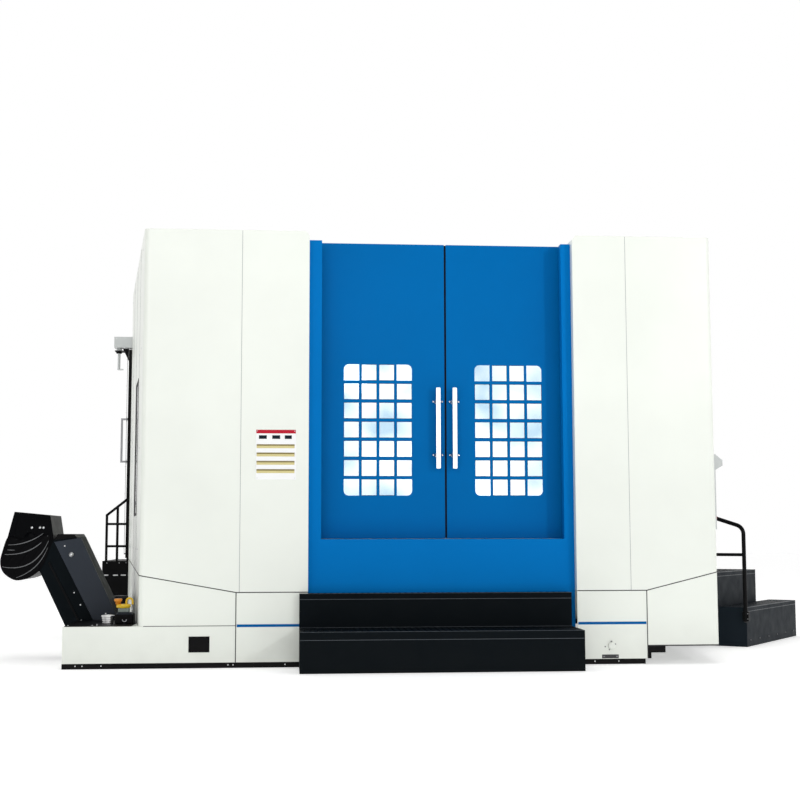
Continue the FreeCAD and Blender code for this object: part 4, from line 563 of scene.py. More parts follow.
plate_x, plate_z = (-1.551, -1.220), (1.519, 1.930)
one_block("guide_plate", paint("guide_white", (0.86, 0.87, 0.87), 0.4, dust=0),
          (plate_x[0], -0.003, plate_z[0]), (plate_x[1], 0.0002, plate_z[1]), 0.001)
khaki = paint("guide_khaki", (0.19, 0.15, 0.035), 0.4, dust=0)
straw = paint("guide_straw", (0.62, 0.54, 0.24), 0.4, dust=0)
red = paint("guide_red", (0.46, 0.004, 0.022), 0.35, dust=0, gloss=0.15)
ink = paint("guide_ink", (0.003, 0.009, 0.017), 0.4, dust=0, gloss=0.1)
columns = [(0.075, 0.270), (0.405, 0.600), (0.715, 0.890)]
heads = [0.704, 0.538, 0.372, 0.206]
for name, finish, bars in (
        ("guide_red_bar", red, [(0.01, 0.99, 0.922, 0.995)]),
        ("guide_windows", ink, [(a, b, 0.812, 0.884) for a, b in columns]),
        ("guide_bars", khaki, [(0.02, 0.96, z - 0.030, z) for z in heads]),
        ("guide_bar_feet", straw, [(0.02, 0.96, z - 0.078, z - 0.030) for z in heads])):
    batch = Batch()
    for a, b, c, d in bars:
        span_x, span_z = plate_x[1] - plate_x[0], plate_z[1] - plate_z[0]
        batch.block((plate_x[0] + a * span_x, -0.0042, plate_z[0] + c * span_z),
                    (plate_x[0] + b * span_x, -0.0028, plate_z[0] + d * span_z), 0.0004)
    batch.done(name, finish)
turned("guide_rivets", stainless,
       [(x, -0.003, z) for x in (plate_x[0] + 0.012, plate_x[1] - 0.012)
        for z in (plate_z[0] + 0.012, plate_z[1] - 0.012)],
       (0, -1, 0), [(0, 0.0045), (0.0012, 0.004), (0.002, 0.002)], 12)

# %% [markdown]
# ## Doors: handles and seals
#
# A door this heavy is moved with a square bar on two round stand-offs. The bar is a measured part
# already; what makes it look bought-in are the turned collars where it meets the door, the small
# cross pins and the chamfered end caps. Each belongs to its door, so each rides on that door.

# %% Handle fittings and door seals
DOORS_MEET, HANDLE_FOOT, HANDLE_TOP = 0.050, 1.625, 2.304
PANE = (0.130, 0.138)
for side, body in ((-1, "left_door"), (1, "right_door")):
    name = "left" if side < 0 else "right"
    middle = DOORS_MEET + side * 0.0705
    posts = [HANDLE_FOOT + 0.112, HANDLE_TOP - 0.112]
    trim = Batch()
    for z in posts:
        trim.lathe((middle, 0.2632, z), (0, -1, 0), [(0, 0.026), (0.004, 0.026), (0.007, 0.022),
                                                     (0.012, 0.0165), (0.020, 0.0145)], 28)
        trim.lathe((middle, 0.2105, z), (0, 1, 0), [(0, 0.018), (0.006, 0.018), (0.008, 0.0145)], 28)
        for way in (-1, 1):
            trim.lathe((middle + way * 0.016, 0.236, z), (way, 0, 0),
                       [(0, 0.0065), (0.016, 0.0065), (0.017, 0.0105), (0.026, 0.0105), (0.029, 0.0075)], 18)
    for z, way in ((HANDLE_FOOT, -1), (HANDLE_TOP, 1)):
        trim.block((middle - 0.0165, 0.1805, z), (middle + 0.0165, 0.2135, z + way * 0.005), 0.0015)
    trim.done(f"{name}_handle_trim", bright, body)
    seals = Batch()
    start = -0.818 if side < 0 else 0.302
    for column in range(4):
        for row in range(7):
            x, z = start + column * 0.150, 1.396 + row * 0.163
            if column in (0, 3) and row in (0, 6):
                continue
            for a, b, c, d in four_bars(0, PANE[0], 0, PANE[1], 0.003):
                seals.block((x + a, 0.2634, z + c), (x + b, 0.2655, z + d))
    seals.done(f"{name}_window_seals", rubber, body)
    # The seal set back in the slit between the doors is near-black: partly a rubber seal's own colour, partly
    # painted shade for the slit.
    ends = sorted([DOORS_MEET + side * 0.0003, DOORS_MEET + side * 0.0088])
    one_block(f"{name}_meeting_seal_and_slit_shade", black, (ends[0], 0.272, 1.04), (ends[1], 0.290, 3.553), 0.0003, body)

# %% [markdown]
# ## Steps and stairs
#
# Steps in a workshop are folded from plate with a lip, and with raised lozenges that grip a wet sole.
# A thin lighter line along each nose and edge is painted highlight, where the edge catches the light.
# The lozenges are hundreds of copies of one low shape, so they are worked out together: a grid of
# middles, each turned one way or the other.


# %% Lozenges on a tread
def lozenges(batch, corner, along, across, counts, top, keep=None):
    """A chequered pattern: middles on a grid along two directions, each lozenge a flat six-sided
    bar of 34 by 9 mm turned +45 or -45 degrees, with its top drawn in."""
    along, across = np.asarray(along, float), np.asarray(across, float)
    i, k = np.meshgrid(np.arange(counts[0]), np.arange(counts[1]), indexing="ij")
    middles = (np.asarray(corner, float) + (i.ravel()[:, None] + 0.5) * along / counts[0]
               + (k.ravel()[:, None] + 0.5) * across / counts[1])
    way = np.where((i + k).ravel() % 2 == 0, 1.0, -1.0)
    if keep is not None:
        chosen = keep(middles)
        middles, way = middles[chosen], way[chosen]
    e = along / np.linalg.norm(along)
    f = across / np.linalg.norm(across)
    outline = np.array([(-17, 0), (-9, -4.5), (9, -4.5), (17, 0), (9, 4.5), (-9, 4.5)]) / 1000
    u = (outline[:, 0][None] * math.sqrt(0.5) - way[:, None] * outline[:, 1][None] * math.sqrt(0.5))
    v = (way[:, None] * outline[:, 0][None] * math.sqrt(0.5) + outline[:, 1][None] * math.sqrt(0.5))
    rings = []
    for height, scale in ((-0.0004, 1.0), (0.0016, 0.72)):
        ring = middles[:, None] + (u * scale)[..., None] * e + (v * scale)[..., None] * f
        ring[..., 2] = top + height
        rings.append(ring)
    points = np.stack(rings, 1).reshape(-1, 3)
    single = ring_faces(2, 6)
    if np.cross(e, f)[2] < 0:
        single = [face[::-1] for face in single]
    faces = [[n + 12 * m for n in face] for m in range(len(middles)) for face in single]
    return batch.add(points, faces)


# %% Front steps
# Painted highlight: a lighter, glossier steel colour for thin lines along the step edges.
step_edge_highlight = paint("step_edge_highlight", (0.045, 0.055, 0.065), 0.35, gloss=0.4, dust=0)
grip = Batch()
lozenges(grip, (-1.18, -0.532, 0), (2.222, 0, 0), (0, 0.462, 0), (44, 9), 0.317)
lozenges(grip, (-1.108, -0.050, 0), (2.150, 0, 0), (0, 0.122, 0), (42, 3), 0.591)
grip.done("front_step_lozenges", navy)
lip, line = Batch(), Batch()
for y, z, drop in ((-0.540, 0.317, 0.062), (-0.058, 0.591, 0.046)):
    lip.block((-1.1875, y - 0.0022, z - drop), (1.050, y + 0.001, z + 0.0008), 0.0015)
    line.block((-1.1865, y - 0.0034, z - drop - 0.0022),
               (1.049, y - 0.0008, z - drop + 0.0022), 0.0008)
    line.block((-1.1865, y - 0.0030, z - 0.0012), (1.049, y + 0.0022, z + 0.0016), 0.0008)
line.block((-1.1865, -0.0645, 0.3172), (1.049, -0.0585, 0.3202), 0.0008)
lip.done("front_step_lips", navy)
line.done("front_step_painted_highlights", step_edge_highlight)

# %% Right stair, seen in its own turned directions
turn = math.radians(53.13)
stair_foot = np.array([3.065, 1.498, 0.0])
stair_u = np.array([math.cos(turn), math.sin(turn), 0.0])
stair_v = np.array([-math.sin(turn), math.cos(turn), 0.0])


def on_stair(u, v, z):
    """A point given along the stair's nose, in from it, and up."""
    return stair_foot + u * stair_u + v * stair_v + np.array([0, 0, z])


def clear_of_wall(points):
    """True for points outside the right side wall by a hand's width."""
    return points[:, 0] > wall_x(1, points[:, 1]) + 0.03


grip = Batch()
lozenges(grip, on_stair(0.012, 0.016, 0), stair_u * 1.62, stair_v * 0.25, (32, 5), 0.372)
lozenges(grip, on_stair(0.012, 0.300, 0), stair_u * 1.17, stair_v * 1.08, (23, 21), 0.700,
         clear_of_wall)
grip.done("right_stair_lozenges", navy)
# Painted highlight lines along the stair's noses.
nose = Batch()
for start, end, v, z in ((0.0, 1.645, 0.0, 0.372), (0.0, 1.200, 0.2803, 0.700)):
    for drop in (0.002, 0.040):
        path = [on_stair(start, v, z - drop), on_stair(end, v, z - drop)]
        ribbon(nose, path, -stair_v, 0.004, 0.0014)
nose.done("right_stair_painted_highlights", step_edge_highlight)
fix = Batch()
for u in np.linspace(0.10, 1.54, 6):
    fix.bolt(on_stair(u, 0, 0.06), -stair_v, 0.009, 0.006)
for u, z in ((-0.031, 0.315), (-0.031, 0.265)):
    fix.bolt(on_stair(u - 0.006, -0.022, z), -stair_u, 0.008, 0.006)
fix.done("right_stair_bolts", dark_steel)
turned("handrail_caps", rubber, [on_stair(-0.031, 0, 0.240)], (0, 0, -1),
       [(0, 0.0192), (0.004, 0.0192), (0.008, 0.014)])

# %% Service platform: lozenges and three bright slots
grip = Batch()
lozenges(grip, (-3.19, 3.18, 0), (0.36, 0, 0), (0, 0.98, 0), (7, 19), 0.800)
grip.done("platform_lozenges", black)
slots = Batch()
for x in (-3.165, -3.065, -2.985):
    slots.block((x - 0.026, 3.1222, 0.648), (x + 0.026, 3.1252, 0.660), 0.0009)
slots.done("platform_slots", stainless)

# %% [markdown]
# ## Chip conveyor
#
# The climbing part of a chip conveyor is a box of welded plate with a bolted side cover that gives
# access to the chain, a round boss, and a flap over its upper end. The discharge hood has a
# rubber boot at its mouth that hangs in folds. The boot is one closed skin: rings that grow from
# the middle of its front face, run along its sides and close again at the back. The folds fan out
# from the boot's upper clamp: they are ridges along lines of equal angle that bend with distance.

# %% Side cover, edge angle and flap
front_y = low("conveyor_casing")[1]
cover = Batch()
plate_piece(cover, [(-3.296, 1.010), (-3.068, 1.046), (-2.762, 0.395), (-2.930, 0.300)], front_y, 0.012)
cover.done("conveyor_side_cover", slate)
angle_bar = Batch()
plate_piece(angle_bar, [(-3.345, 0.830), (-3.333, 0.838), (-3.050, 0.300), (-3.062, 0.292)],
            front_y, 0.007, 0.001)
plate_piece(angle_bar, [(-3.300, 1.0262), (-3.110, 1.0522), (-3.126, 1.078), (-3.268, 1.078)],
            front_y + 0.545, 0.547)
angle_bar.done("conveyor_edge_angle", black)
ring = Batch()
ring.lathe((-3.147, front_y - 0.012, 0.901), (0, -1, 0),
           [(0, 0.020), (0.003, 0.020), (0.004, 0.012), (0.012, 0.010), (0.014, 0.006)], 26)
for x, z in ((-3.062, 0.470), (-3.118, 0.575), (-3.205, 0.975), (-2.845, 0.395)):
    ring.bolt((x, front_y - 0.012 * (x > -3.06 or z > 0.9), z), (0, -1, 0), 0.008, 0.005)
ring.done("conveyor_bolts", stainless)


# %% The boot of folded rubber
def boot(name, outline, y_range, finish):
    """Rings about the outline's middle. On the front the ring's share of full size grows from 0 to
    1, and the surface comes forward by a low dome plus folds; the sides run straight back."""
    outline = np.asarray(outline, float)
    closed = np.concatenate([outline, outline[:1]])
    steps = np.concatenate([[0], np.cumsum(np.linalg.norm(np.diff(closed, axis=0), axis=1))])
    at = np.linspace(0, steps[-1], 180, endpoint=False)
    rim = np.stack([np.interp(at, steps, closed[:, i]) for i in (0, 1)], 1)
    kernel = np.hanning(25) / np.hanning(25).sum()
    wide = np.concatenate([rim[-12:], rim, rim[:12]])
    rim = np.stack([np.convolve(wide[:, i], kernel, "valid") for i in (0, 1)], 1)
    middle = rim.mean(0)
    shares = np.concatenate([np.linspace(0.02, 0.97, 34), [0.99, 1.0]])
    clamp = np.array([-3.300, 1.115])
    rings = []
    for share in shares:
        flat = middle + (rim - middle) * share
        away = clamp - flat
        reach = np.linalg.norm(away, axis=1)
        swing = np.arctan2(away[:, 1], away[:, 0])
        phase = (swing - 0.55 * (reach - 0.3)) * 4.6
        ridge = np.exp(-((phase - np.floor(phase) - 0.5) / 0.10) ** 2)
        fade = np.clip(reach / 0.12, 0, 1) * (1 - share ** 8)
        forward = 0.014 * (1 - share ** 6) + 0.003 * ridge * fade
        rings.append(np.column_stack([flat[:, 0], y_range[0] - forward, flat[:, 1]]))
    for y in np.linspace(y_range[0] + 0.01, y_range[1], 8):
        rings.append(np.column_stack([rim[:, 0], np.full(len(rim), y), rim[:, 1]]))
    for share in (0.98, 0.9, 0.5, 0.02):
        flat = middle + (rim - middle) * share
        rings.append(np.column_stack([flat[:, 0], np.full(len(rim), y_range[1] + 0.004), flat[:, 1]]))
    faces = ring_faces(len(rings), len(rim))
    area = np.sum(rim[:, 0] * np.roll(rim[:, 1], -1) - np.roll(rim[:, 0], -1) * rim[:, 1])
    if area > 0:
        faces = [face[::-1] for face in faces]
    made = Batch()
    made.add(np.array(rings), faces, True)
    return made.done(name, finish)


boot_rubber = paint("boot_rubber", (0.002, 0.002, 0.0026), 0.36, peel=0.0002, peel_scale=140, dust=0,
                    gloss=0.04)
# A light grey for painted highlights along the edges of the black boot's folds.
painted_fold_highlight = plastic("painted_fold_highlight", (0.13, 0.135, 0.14), 0.5)
hood_low, hood_high = low("conveyor_hood"), high("conveyor_hood")
boot("conveyor_boot", [(-3.330, 1.090), (-3.345, 0.900), (-3.400, 0.775), (-3.500, 0.700), (-3.620, 0.672),
                       (-3.730, 0.745), (-3.758, 0.840), (-3.715, 1.000), (-3.690, 1.075),
                       (-3.560, 1.035), (-3.440, 1.060)],
     (hood_low[1] - 0.003, hood_high[1] + 0.002), boot_rubber)

# %% Painted highlights on the hanging folds: each is a light grey curve from the clamp to the free edge
def bow(start, pull, end, count=26):
    """Points (1-t)^2 start + 2t(1-t) pull + t^2 end, for t from 0 to 1."""
    t = np.linspace(0, 1, count)[:, None]
    return (1 - t) ** 2 * np.array(start) + 2 * t * (1 - t) * np.array(pull) + t ** 2 * np.array(end)


def boot_front(points):
    """Y of the boot's low dome at a point of its front: forward in the middle, flat at the rim."""
    reach = np.linalg.norm((points - [-3.545, 0.885]) / [0.235, 0.24], axis=1)
    return hood_low[1] - 0.006 - 0.014 * np.clip(1 - reach ** 3, 0, 1)


# The light grey of these curves is painted highlight on the fold edges of the black rubber.
folds = Batch()
for start, pull, end, thick in (
        ((-3.390, 1.085), (-3.515, 0.985), (-3.685, 0.985), 0.0042),
        ((-3.352, 1.065), (-3.480, 0.890), (-3.712, 0.905), 0.0046),
        ((-3.345, 1.020), (-3.450, 0.745), (-3.730, 0.798), 0.0046),
        ((-3.350, 0.960), (-3.420, 0.765), (-3.610, 0.705), 0.0038),
        ((-3.690, 0.943), (-3.660, 0.940), (-3.625, 0.941), 0.0034)):
    line = bow(start, pull, end)
    taper = thick * (0.35 + 0.65 * np.sin(np.linspace(0.15, math.pi - 0.15, len(line))))
    path = np.column_stack([line[:, 0], boot_front(line), line[:, 1]])
    around = np.linspace(0, 2 * math.pi, 12, endpoint=False)
    ahead = np.gradient(line, axis=0)
    ahead /= np.linalg.norm(ahead, axis=1)[:, None]
    side_step = np.column_stack([ahead[:, 1], np.zeros(len(line)), -ahead[:, 0]])
    ring = (path[:, None] + (taper[:, None] * np.cos(around))[..., None] * side_step[:, None]
            + (taper[:, None] * 0.8 * np.sin(around))[..., None] * np.array([0, -1.0, 0]))
    folds.add(ring, [face[::-1] for face in ring_faces(len(line), 12)], True)
folds.done("conveyor_boot_painted_highlights", painted_fold_highlight)

# %% Hood fittings: rim and screws
rim = Batch()
plate_piece(rim, [(-3.338, 1.236), (-3.640, 1.266), (-3.650, 1.226), (-3.334, 1.196)], hood_low[1], 0.006)
plate_piece(rim, [(-3.640, 1.266), (-3.602, 1.260), (-3.640, 1.060), (-3.686, 1.060)], hood_low[1], 0.005)
stands = max(hood_low[1] - low("conveyor_shaft")[1], 0)
print("shaft stands out by", round(stands, 4))
rim.lathe((-3.5, hood_low[1], 1.04), (0, -1, 0),
          [(-0.004, 0.052), (stands + 0.004, 0.052), (stands + 0.008, 0.046), (stands + 0.0085, 0.004)], 30)
rim.done("hood_rim", gloss_black)
turned("hood_screws", stainless, [(x, hood_low[1], 1.133) for x in (-3.489, -3.420, -3.390)],
       (0, -1, 0), [(0, 0.011), (0.006, 0.011), (0.010, 0.006)], 18)

# %% [markdown]
# ## Coolant tank
#
# The tank's top carries lids, pumps and pipes. Pump motors are finned so that air carries their
# heat away; the fins are thin discs on the measured body. The lids are thin bolted plates.

# %% Lids and rear pump fittings
tank_top = high("coolant_tank")[2]
lids = Batch()
for y0, y1 in ((0.030, 0.780), (1.372, 1.880)):
    lids.block((-3.070, y0, tank_top), (-2.425 - 0.146 * y1, y1, tank_top + 0.006), 0.0015)
lids.done("tank_lids", black)
bolted("tank_lid_bolts", stainless,
       [(x, y, tank_top + 0.006) for x, y in ((-3.045, 0.06), (-2.853, 0.06), (-2.815, 0.06), (-2.829, 0.16),
                                              (-3.045, 0.75), (-3.045, 1.40), (-3.045, 1.86))],
       (0, 0, 1), 0.008, 0.006)
pump_top = high("coolant_pumps")[2]
fins, caps, pipes = Batch(), Batch(), Batch()
for number in range(2):
    x, y = -2.960 + 0.145 * number, 1.540 + 0.040 * number
    profile = []
    for z in np.linspace(tank_top + 0.045, pump_top - 0.050, 5):
        profile += [(z, 0.0575), (z + 0.001, 0.0680), (z + 0.005, 0.0680), (z + 0.006, 0.0575)]
    fins.lathe((x, y, 0), (0, 0, 1), profile, 36, False)
    caps.lathe((x, y, pump_top - 0.034), (0, 0, 1),
               [(0, 0.0668), (0.026, 0.0668), (0.036, 0.058), (0.038, 0.030), (0.0385, 0.004)], 36)
    bend = np.linspace(0, math.pi / 2, 12)
    rise = np.column_stack([np.full(12, x), y + 0.105 + 0.03 * (1 - np.cos(bend)),
                            tank_top + 0.05 + 0.03 * np.sin(bend)])
    pipes.tube(np.concatenate([[[x, y + 0.105, tank_top + 0.004], [x, y + 0.105, tank_top + 0.03]], rise,
                               [[x, y + 0.24, tank_top + 0.08]]]), 0.014, 16)
fins.done("pump_fins", motor_black)
caps.done("pump_caps", motor_black)
pipes.done("coolant_pipes", stainless)
dress("coolant_pumps", motor_black)

# %% The filter set in front: a finned motor, and a valve block on a dark box
base = tank_top + 0.006
profile = [(0, 0.036)]
for step, radius in ((0.004, 0.044), (0.021, 0.047), (0.038, 0.050), (0.055, 0.054)):
    profile += [(step, radius - 0.007), (step + 0.001, radius),
                (step + 0.011, radius), (step + 0.012, radius - 0.007)]
turned("filter_motor", pale_alloy, [(-2.764, 0.330, base)], (0, 0, 1), profile + [(0.070, 0.030)], 40, False)
one_block("filter_box", black, (-2.700, 0.250, base), (-2.552, 0.420, base + 0.076), 0.005)
plates = Batch()
plates.block((-2.692, 0.262, base + 0.076), (-2.560, 0.400, base + 0.083), 0.0015)
plates.block((-2.684, 0.272, base + 0.085), (-2.568, 0.392, base + 0.092), 0.0015)
plates.block((-2.735, 0.285, base + 0.058), (-2.700, 0.330, base + 0.066), 0.0015)
plates.done("filter_plates", slate)
one_block("valve_block", grey_green, (-2.680, 0.300, base + 0.092), (-2.592, 0.382, base + 0.126), 0.003)
valve = Batch()
valve.lathe((-2.640, 0.342, base + 0.126), (0, 0, 1),
            [(0, 0.052), (0.004, 0.060), (0.024, 0.060), (0.030, 0.056), (0.032, 0.020)], 40)
arc = np.linspace(0, math.pi, 19)
grip_path = np.column_stack([-2.592 + 0.026 * np.cos(arc), np.full(19, 0.342),
                             base + 0.175 + 0.030 * np.sin(arc)])
valve.tube(grip_path, 0.0085, 14)
for x in (-2.618, -2.566):
    valve.lathe((x, 0.342, base + 0.152), (0, 0, 1), [(0, 0.0085), (0.024, 0.0085)], 14)
valve.done("valve_head", yellow)
turned("valve_knob", orange, [(-2.683, 0.330, base + 0.156)], (0, 0, 1),
       [(0, 0.022), (0.022, 0.022), (0.024, 0.032), (0.042, 0.033), (0.046, 0.029)], 30)
hook_path = np.column_stack([-2.620 + 0.016 * np.cos(arc), np.full(19, 0.246),
                             base + 0.036 - 0.018 * np.sin(arc)])
Batch().tube(hook_path, 0.004, 12).done("filter_hook", zinc)
port = Batch()
x0, x1, z0, z1 = -2.074, -1.912, 0.128, 0.249
for a, b, c, d in ((x0 - 0.003, x1 + 0.003, z0 - 0.003, z0), (x0 - 0.003, x1 + 0.003, z1, z1 + 0.003),
                   (x0 - 0.003, x0, z0, z1), (x1, x1 + 0.003, z0, z1)):
    port.block((a, -0.0025, c), (b, 0.004, d), 0.0008)
port.done("port_frame", black)
one_block("port_shutter", black, (x0 - 0.004, 0.006, z0 - 0.004), (x1 + 0.004, 0.009, z1 + 0.004), 0.001)

# %% Screws along the base, a black plate of painted shade for a small notch, and a stub beside the steps
bolted("base_screws", stainless,
       [(x, 0.0, 0.024) for x in (-2.973, -2.918, -2.769, -1.759, -1.718, -1.30, 1.25, 1.45)],
       (0, -1, 0), 0.0065, 0.004)
# Painted shade: a flat black plate where the inside of a small notch in the base lies in shade.
one_block("base_notch_shade", plastic_black, (1.31, -0.0012, 0.047), (1.45, 0.0005, 0.078), 0.0005)
turned("base_pocket_screws", dark_steel, [(1.325, 0.0, 0.062), (1.435, 0.0, 0.062)], (0, -1, 0),
       [(0, 0.008), (0.002, 0.007), (0.003, 0.004)], 14)
turned("base_stub", white, [(1.392, 0.0, 0.150)], (0, -1, 0),
       [(0, 0.030), (0.010, 0.030), (0.013, 0.026), (0.014, 0.010)], 30)
turned("base_stub_screws", dark_steel,
       [(1.388, -0.014, 0.186), (1.424, 0.0, 0.162), (1.372, 0.0, 0.118), (1.338, 0.0, 0.142)],
       (0, -1, 0), [(0, 0.006), (0.003, 0.005), (0.004, 0.002)], 12)

# %% [markdown]
# ## Service door, side window and overhead housing
#
# The service door is a plain leaf in a black frame. It gets a rubber gasket round its edge, collars
# under its handle and bolts along the frame. The window ahead of it gets a gasket of its own.

# %% Gasket, frame bolts and handle collars
door_low, door_high = low("left_side_door"), high("left_side_door")
face = door_low[0]
gasket = Batch()
inset = 0.012
for a, b, c, d in four_bars(door_low[1] + inset, door_high[1] - inset,
                            door_low[2] + inset, door_high[2] - inset, 0.012):
    gasket.block((face - 0.0015, a, c), (face + 0.001, b, d))
gasket.done("service_door_gasket", rubber, "service_door")
frame_low, frame_high = low("left_door_frame"), high("left_door_frame")
bolts = Batch()
for y in (frame_low[1] + 0.03, frame_high[1] - 0.03):
    for z in np.linspace(frame_low[2] + 0.10, frame_high[2] - 0.10, 8):
        bolts.bolt((frame_low[0], y, z), (-1, 0, 0), 0.007, 0.004)
for y in np.linspace(frame_low[1] + 0.20, frame_high[1] - 0.20, 4):
    bolts.bolt((frame_low[0], y, frame_high[2] - 0.03), (-1, 0, 0), 0.007, 0.004)
bolts.done("service_frame_bolts", stainless)
grip_low, grip_high = low("left_side_handle"), high("left_side_handle")
turned("service_handle_collars", stainless,
       [(face, grip_low[1] * 0.5 + grip_high[1] * 0.5, z)
        for z in (grip_low[2] + 0.010, grip_high[2] - 0.010)],
       (-1, 0, 0), [(0, 0.026), (0.004, 0.026), (0.007, 0.020)], body="service_door")

# %% Side window gasket
gasket = Batch()
slope = CASING[-1]["slope"]
lean = np.array([-slope, 1.0, 0.0])
lean /= np.linalg.norm(lean)
outward = np.array([-lean[1], lean[0], 0.0])
start = np.array([-(CASING[-1]["corner"] + 0.9 * slope), 0.9, 0.0])
run = 0.6 * math.sqrt(1 + slope ** 2)
for a, b, c in ((0.0, run, 1.25), (0.0, run, 2.44)):
    ribbon(gasket, [start + lean * a + [0, 0, c], start + lean * b + [0, 0, c]], outward, 0.022, 0.003)
for a in (0.0, run):
    ribbon(gasket, [start + lean * a + [0, 0, 1.25], start + lean * a + [0, 0, 2.44]], outward, 0.022, 0.003)
gasket.done("side_window_gasket", rubber)

# %% Platform bolts, the overhead housing's bolts and swivel, and black plates of painted shade under the housing
bolted("platform_bolts", stainless, [(x, 3.128, 0.780) for x in (-3.155, -3.03, -2.96)],
       (0, -1, 0), 0.007, 0.004)
box_low, box_high = low("overhead_arm"), high("overhead_arm")
bolted("overhead_bolts", stainless,
       [(x, box_low[1], z) for z in (box_low[2] + 0.03, box_high[2] - 0.02) for x in (-3.10, -3.02)],
       (0, -1, 0), 0.006, 0.003)
under = Batch()
# Painted shade: a black plate over the housing's underside; the turned part below it is the swivel.
under.block((-3.119, box_low[1] + 0.006, box_low[2] - 0.010),
            (-2.992, box_high[1] - 0.006, box_low[2] + 0.001), 0.002)
under.lathe((-3.080, 3.195, box_low[2] - 0.010), (0, 0, -1),
            [(0, 0.030), (0.012, 0.030), (0.016, 0.024), (0.017, 0.012)], 28)
under.done("overhead_swivel_and_painted_shade", black)
# Painted shade: a black triangle under the housing.
shade_triangle = Batch()
plate_piece(shade_triangle, [(-2.9766, 3.030), (-2.9766, 2.900), (-3.040, 3.030)], frame_low[1] + 0.012, 0.010, 0.001)
shade_triangle.done("overhead_painted_shade_triangle", black)

# %% [markdown]
# ## Operator's console
#
# The console faces back along the side wall so that the operator stands on the stair. Its front
# carries a screen under a visor, a block of square keys, two rotary switches, and the two push
# buttons that CAD already has. Key faces are left plain: a real panel's legends are words or
# maker's symbols. Everything is set out in the console's own turned directions.

# %% Console front
desk_turn = CASING[1]["angle"]
desk_along = np.array([math.sin(desk_turn), math.cos(desk_turn), 0.0])
desk_out = np.array([math.cos(desk_turn), -math.sin(desk_turn), 0.0])
desk_base = np.array([2.457, 1.04, 1.110])
FACE_OUT = 0.185


def on_desk(along, up):
    """A point on the console's face, given along it and up."""
    return desk_base + desk_out * FACE_OUT + desk_along * along + np.array([0, 0, up])


def desk_block(batch, out, along, up, edge=0.002):
    """A block given by its spans out from the wall, along the console and up, turned with it."""
    corners = np.array([[o, a, u] for u in up for a, o in ((along[0], out[0]), (along[0], out[1]),
                                                          (along[1], out[1]), (along[1], out[0]))])
    inset = min(edge, 0.4 * min(out[1] - out[0], along[1] - along[0], up[1] - up[0]))
    shrink = np.array([[out[0] + inset * (o == out[0]) - inset * (o == out[1]),
                        along[0] + inset * (a == along[0]) - inset * (a == along[1]), u]
                       for o, a, u in corners])
    low_ring, high_ring = corners[:4].copy(), corners[4:].copy()
    low_ring[:, 2], high_ring[:, 2] = up[0] + inset, up[1] - inset
    rings = np.array([shrink[:4], low_ring, high_ring, shrink[4:]])
    world = desk_base + rings[..., :1] * desk_out + rings[..., 1:2] * desk_along + [0, 0, 1] * rings[..., 2:3]
    return batch.add(world, ring_faces(4, 4))


screen_glow = lamp("screen_glow", (0.05, 0.10, 0.14), 0.35)
bezel, screen, keys, dark_keys, dials = Batch(), Batch(), Batch(), Batch(), Batch()
front = FACE_OUT
desk_block(bezel, (front - 0.001, front + 0.008), (0.060, 0.460), (0.300, 0.570))
desk_block(screen, (front + 0.007, front + 0.0095), (0.085, 0.435), (0.322, 0.548))
desk_block(bezel, (front - 0.001, front + 0.003), (0.045, 0.475), (0.155, 0.285))
for row in range(4):
    for column in range(13):
        target = keys if (row + column) % 5 else dark_keys
        desk_block(target, (front + 0.002, front + 0.008),
                   (0.056 + column * 0.0315, 0.081 + column * 0.0315),
                   (0.163 + row * 0.0295, 0.186 + row * 0.0295), 0.002)
for along in (0.330, 0.420):
    dials.lathe(on_desk(along, 0.095), desk_out, [(0, 0.030), (0.003, 0.030), (0.005, 0.026),
                                                  (0.006, 0.022), (0.022, 0.020), (0.024, 0.017)], 30)
bezel.done("console_bezel", plastic_black)
screen.done("console_screen", screen_glow)
keys.done("console_keys", plastic_grey)
dark_keys.done("console_dark_keys", rubber)
dials.done("console_dials", plastic_black)
turned("button_collars", yellow, [on_desk(along, 0.11) for along in (0.10, 0.23)], desk_out,
       [(0.0, 0.0335), (0.003, 0.0335), (0.004, 0.030), (0.0045, 0.0225)], 32)
turned("console_screws", stainless, [on_desk(along, up) for along in (0.03, 0.49) for up in (0.04, 0.44)],
       desk_out, [(0, 0.006), (0.002, 0.0055), (0.003, 0.003)], 12)

# %% [markdown]
# ## Sides, back and roof
#
# The long side walls are hung in panels; each joint shows as a dark line, and each panel has
# screws near its edges. The electrical cabinet at the back needs louvres for its cooling
# air: each louvre is a half-drop pressed out of the sheet, so its section is a slanted lip that is
# open at the bottom. The casing's roof has stiffening ribs and four lifting eyes.

# %% Panel joints and screws on the side and rear walls
joints, screws = Batch(), Batch()
for side, place in CASING.items():
    out = np.array([side * math.cos(place["angle"]), -math.sin(place["angle"]), 0])
    for y in (0.80, 1.62, 2.42):
        x = wall_x(side, y)
        foot = SEAM_Z + seam_rise(side, x) + 0.006
        ribbon(joints, [[x, y, foot], [x, y, TOP - 0.01]], out, 0.005, 0.0008)
    for y in (0.40, 0.76, 0.84, 1.58, 1.66, 2.38, 2.46, 3.06):
        for z in (0.95, 1.80, 2.65, 3.50):
            if side < 0 and 0.85 <= y <= 1.55 and 1.2 < z < 2.5:
                continue
            screws.lathe((wall_x(side, y), y, z), out, SCREW_DOME, 12)
    wall = side * (2.8346 if side < 0 else 2.6596)
    ribbon(joints, [[wall, 4.60, 0.62], [wall, 4.60, TOP - 0.04]], [side, 0, 0], 0.005, 0.0008)
    for y in (4.25 if side < 0 else 3.25, 4.55, 4.65, 5.09):
        for z in (0.95, 1.80, 2.65, 3.48):
            screws.lathe((wall, y, z), (side, 0, 0), SCREW_DOME, 12)
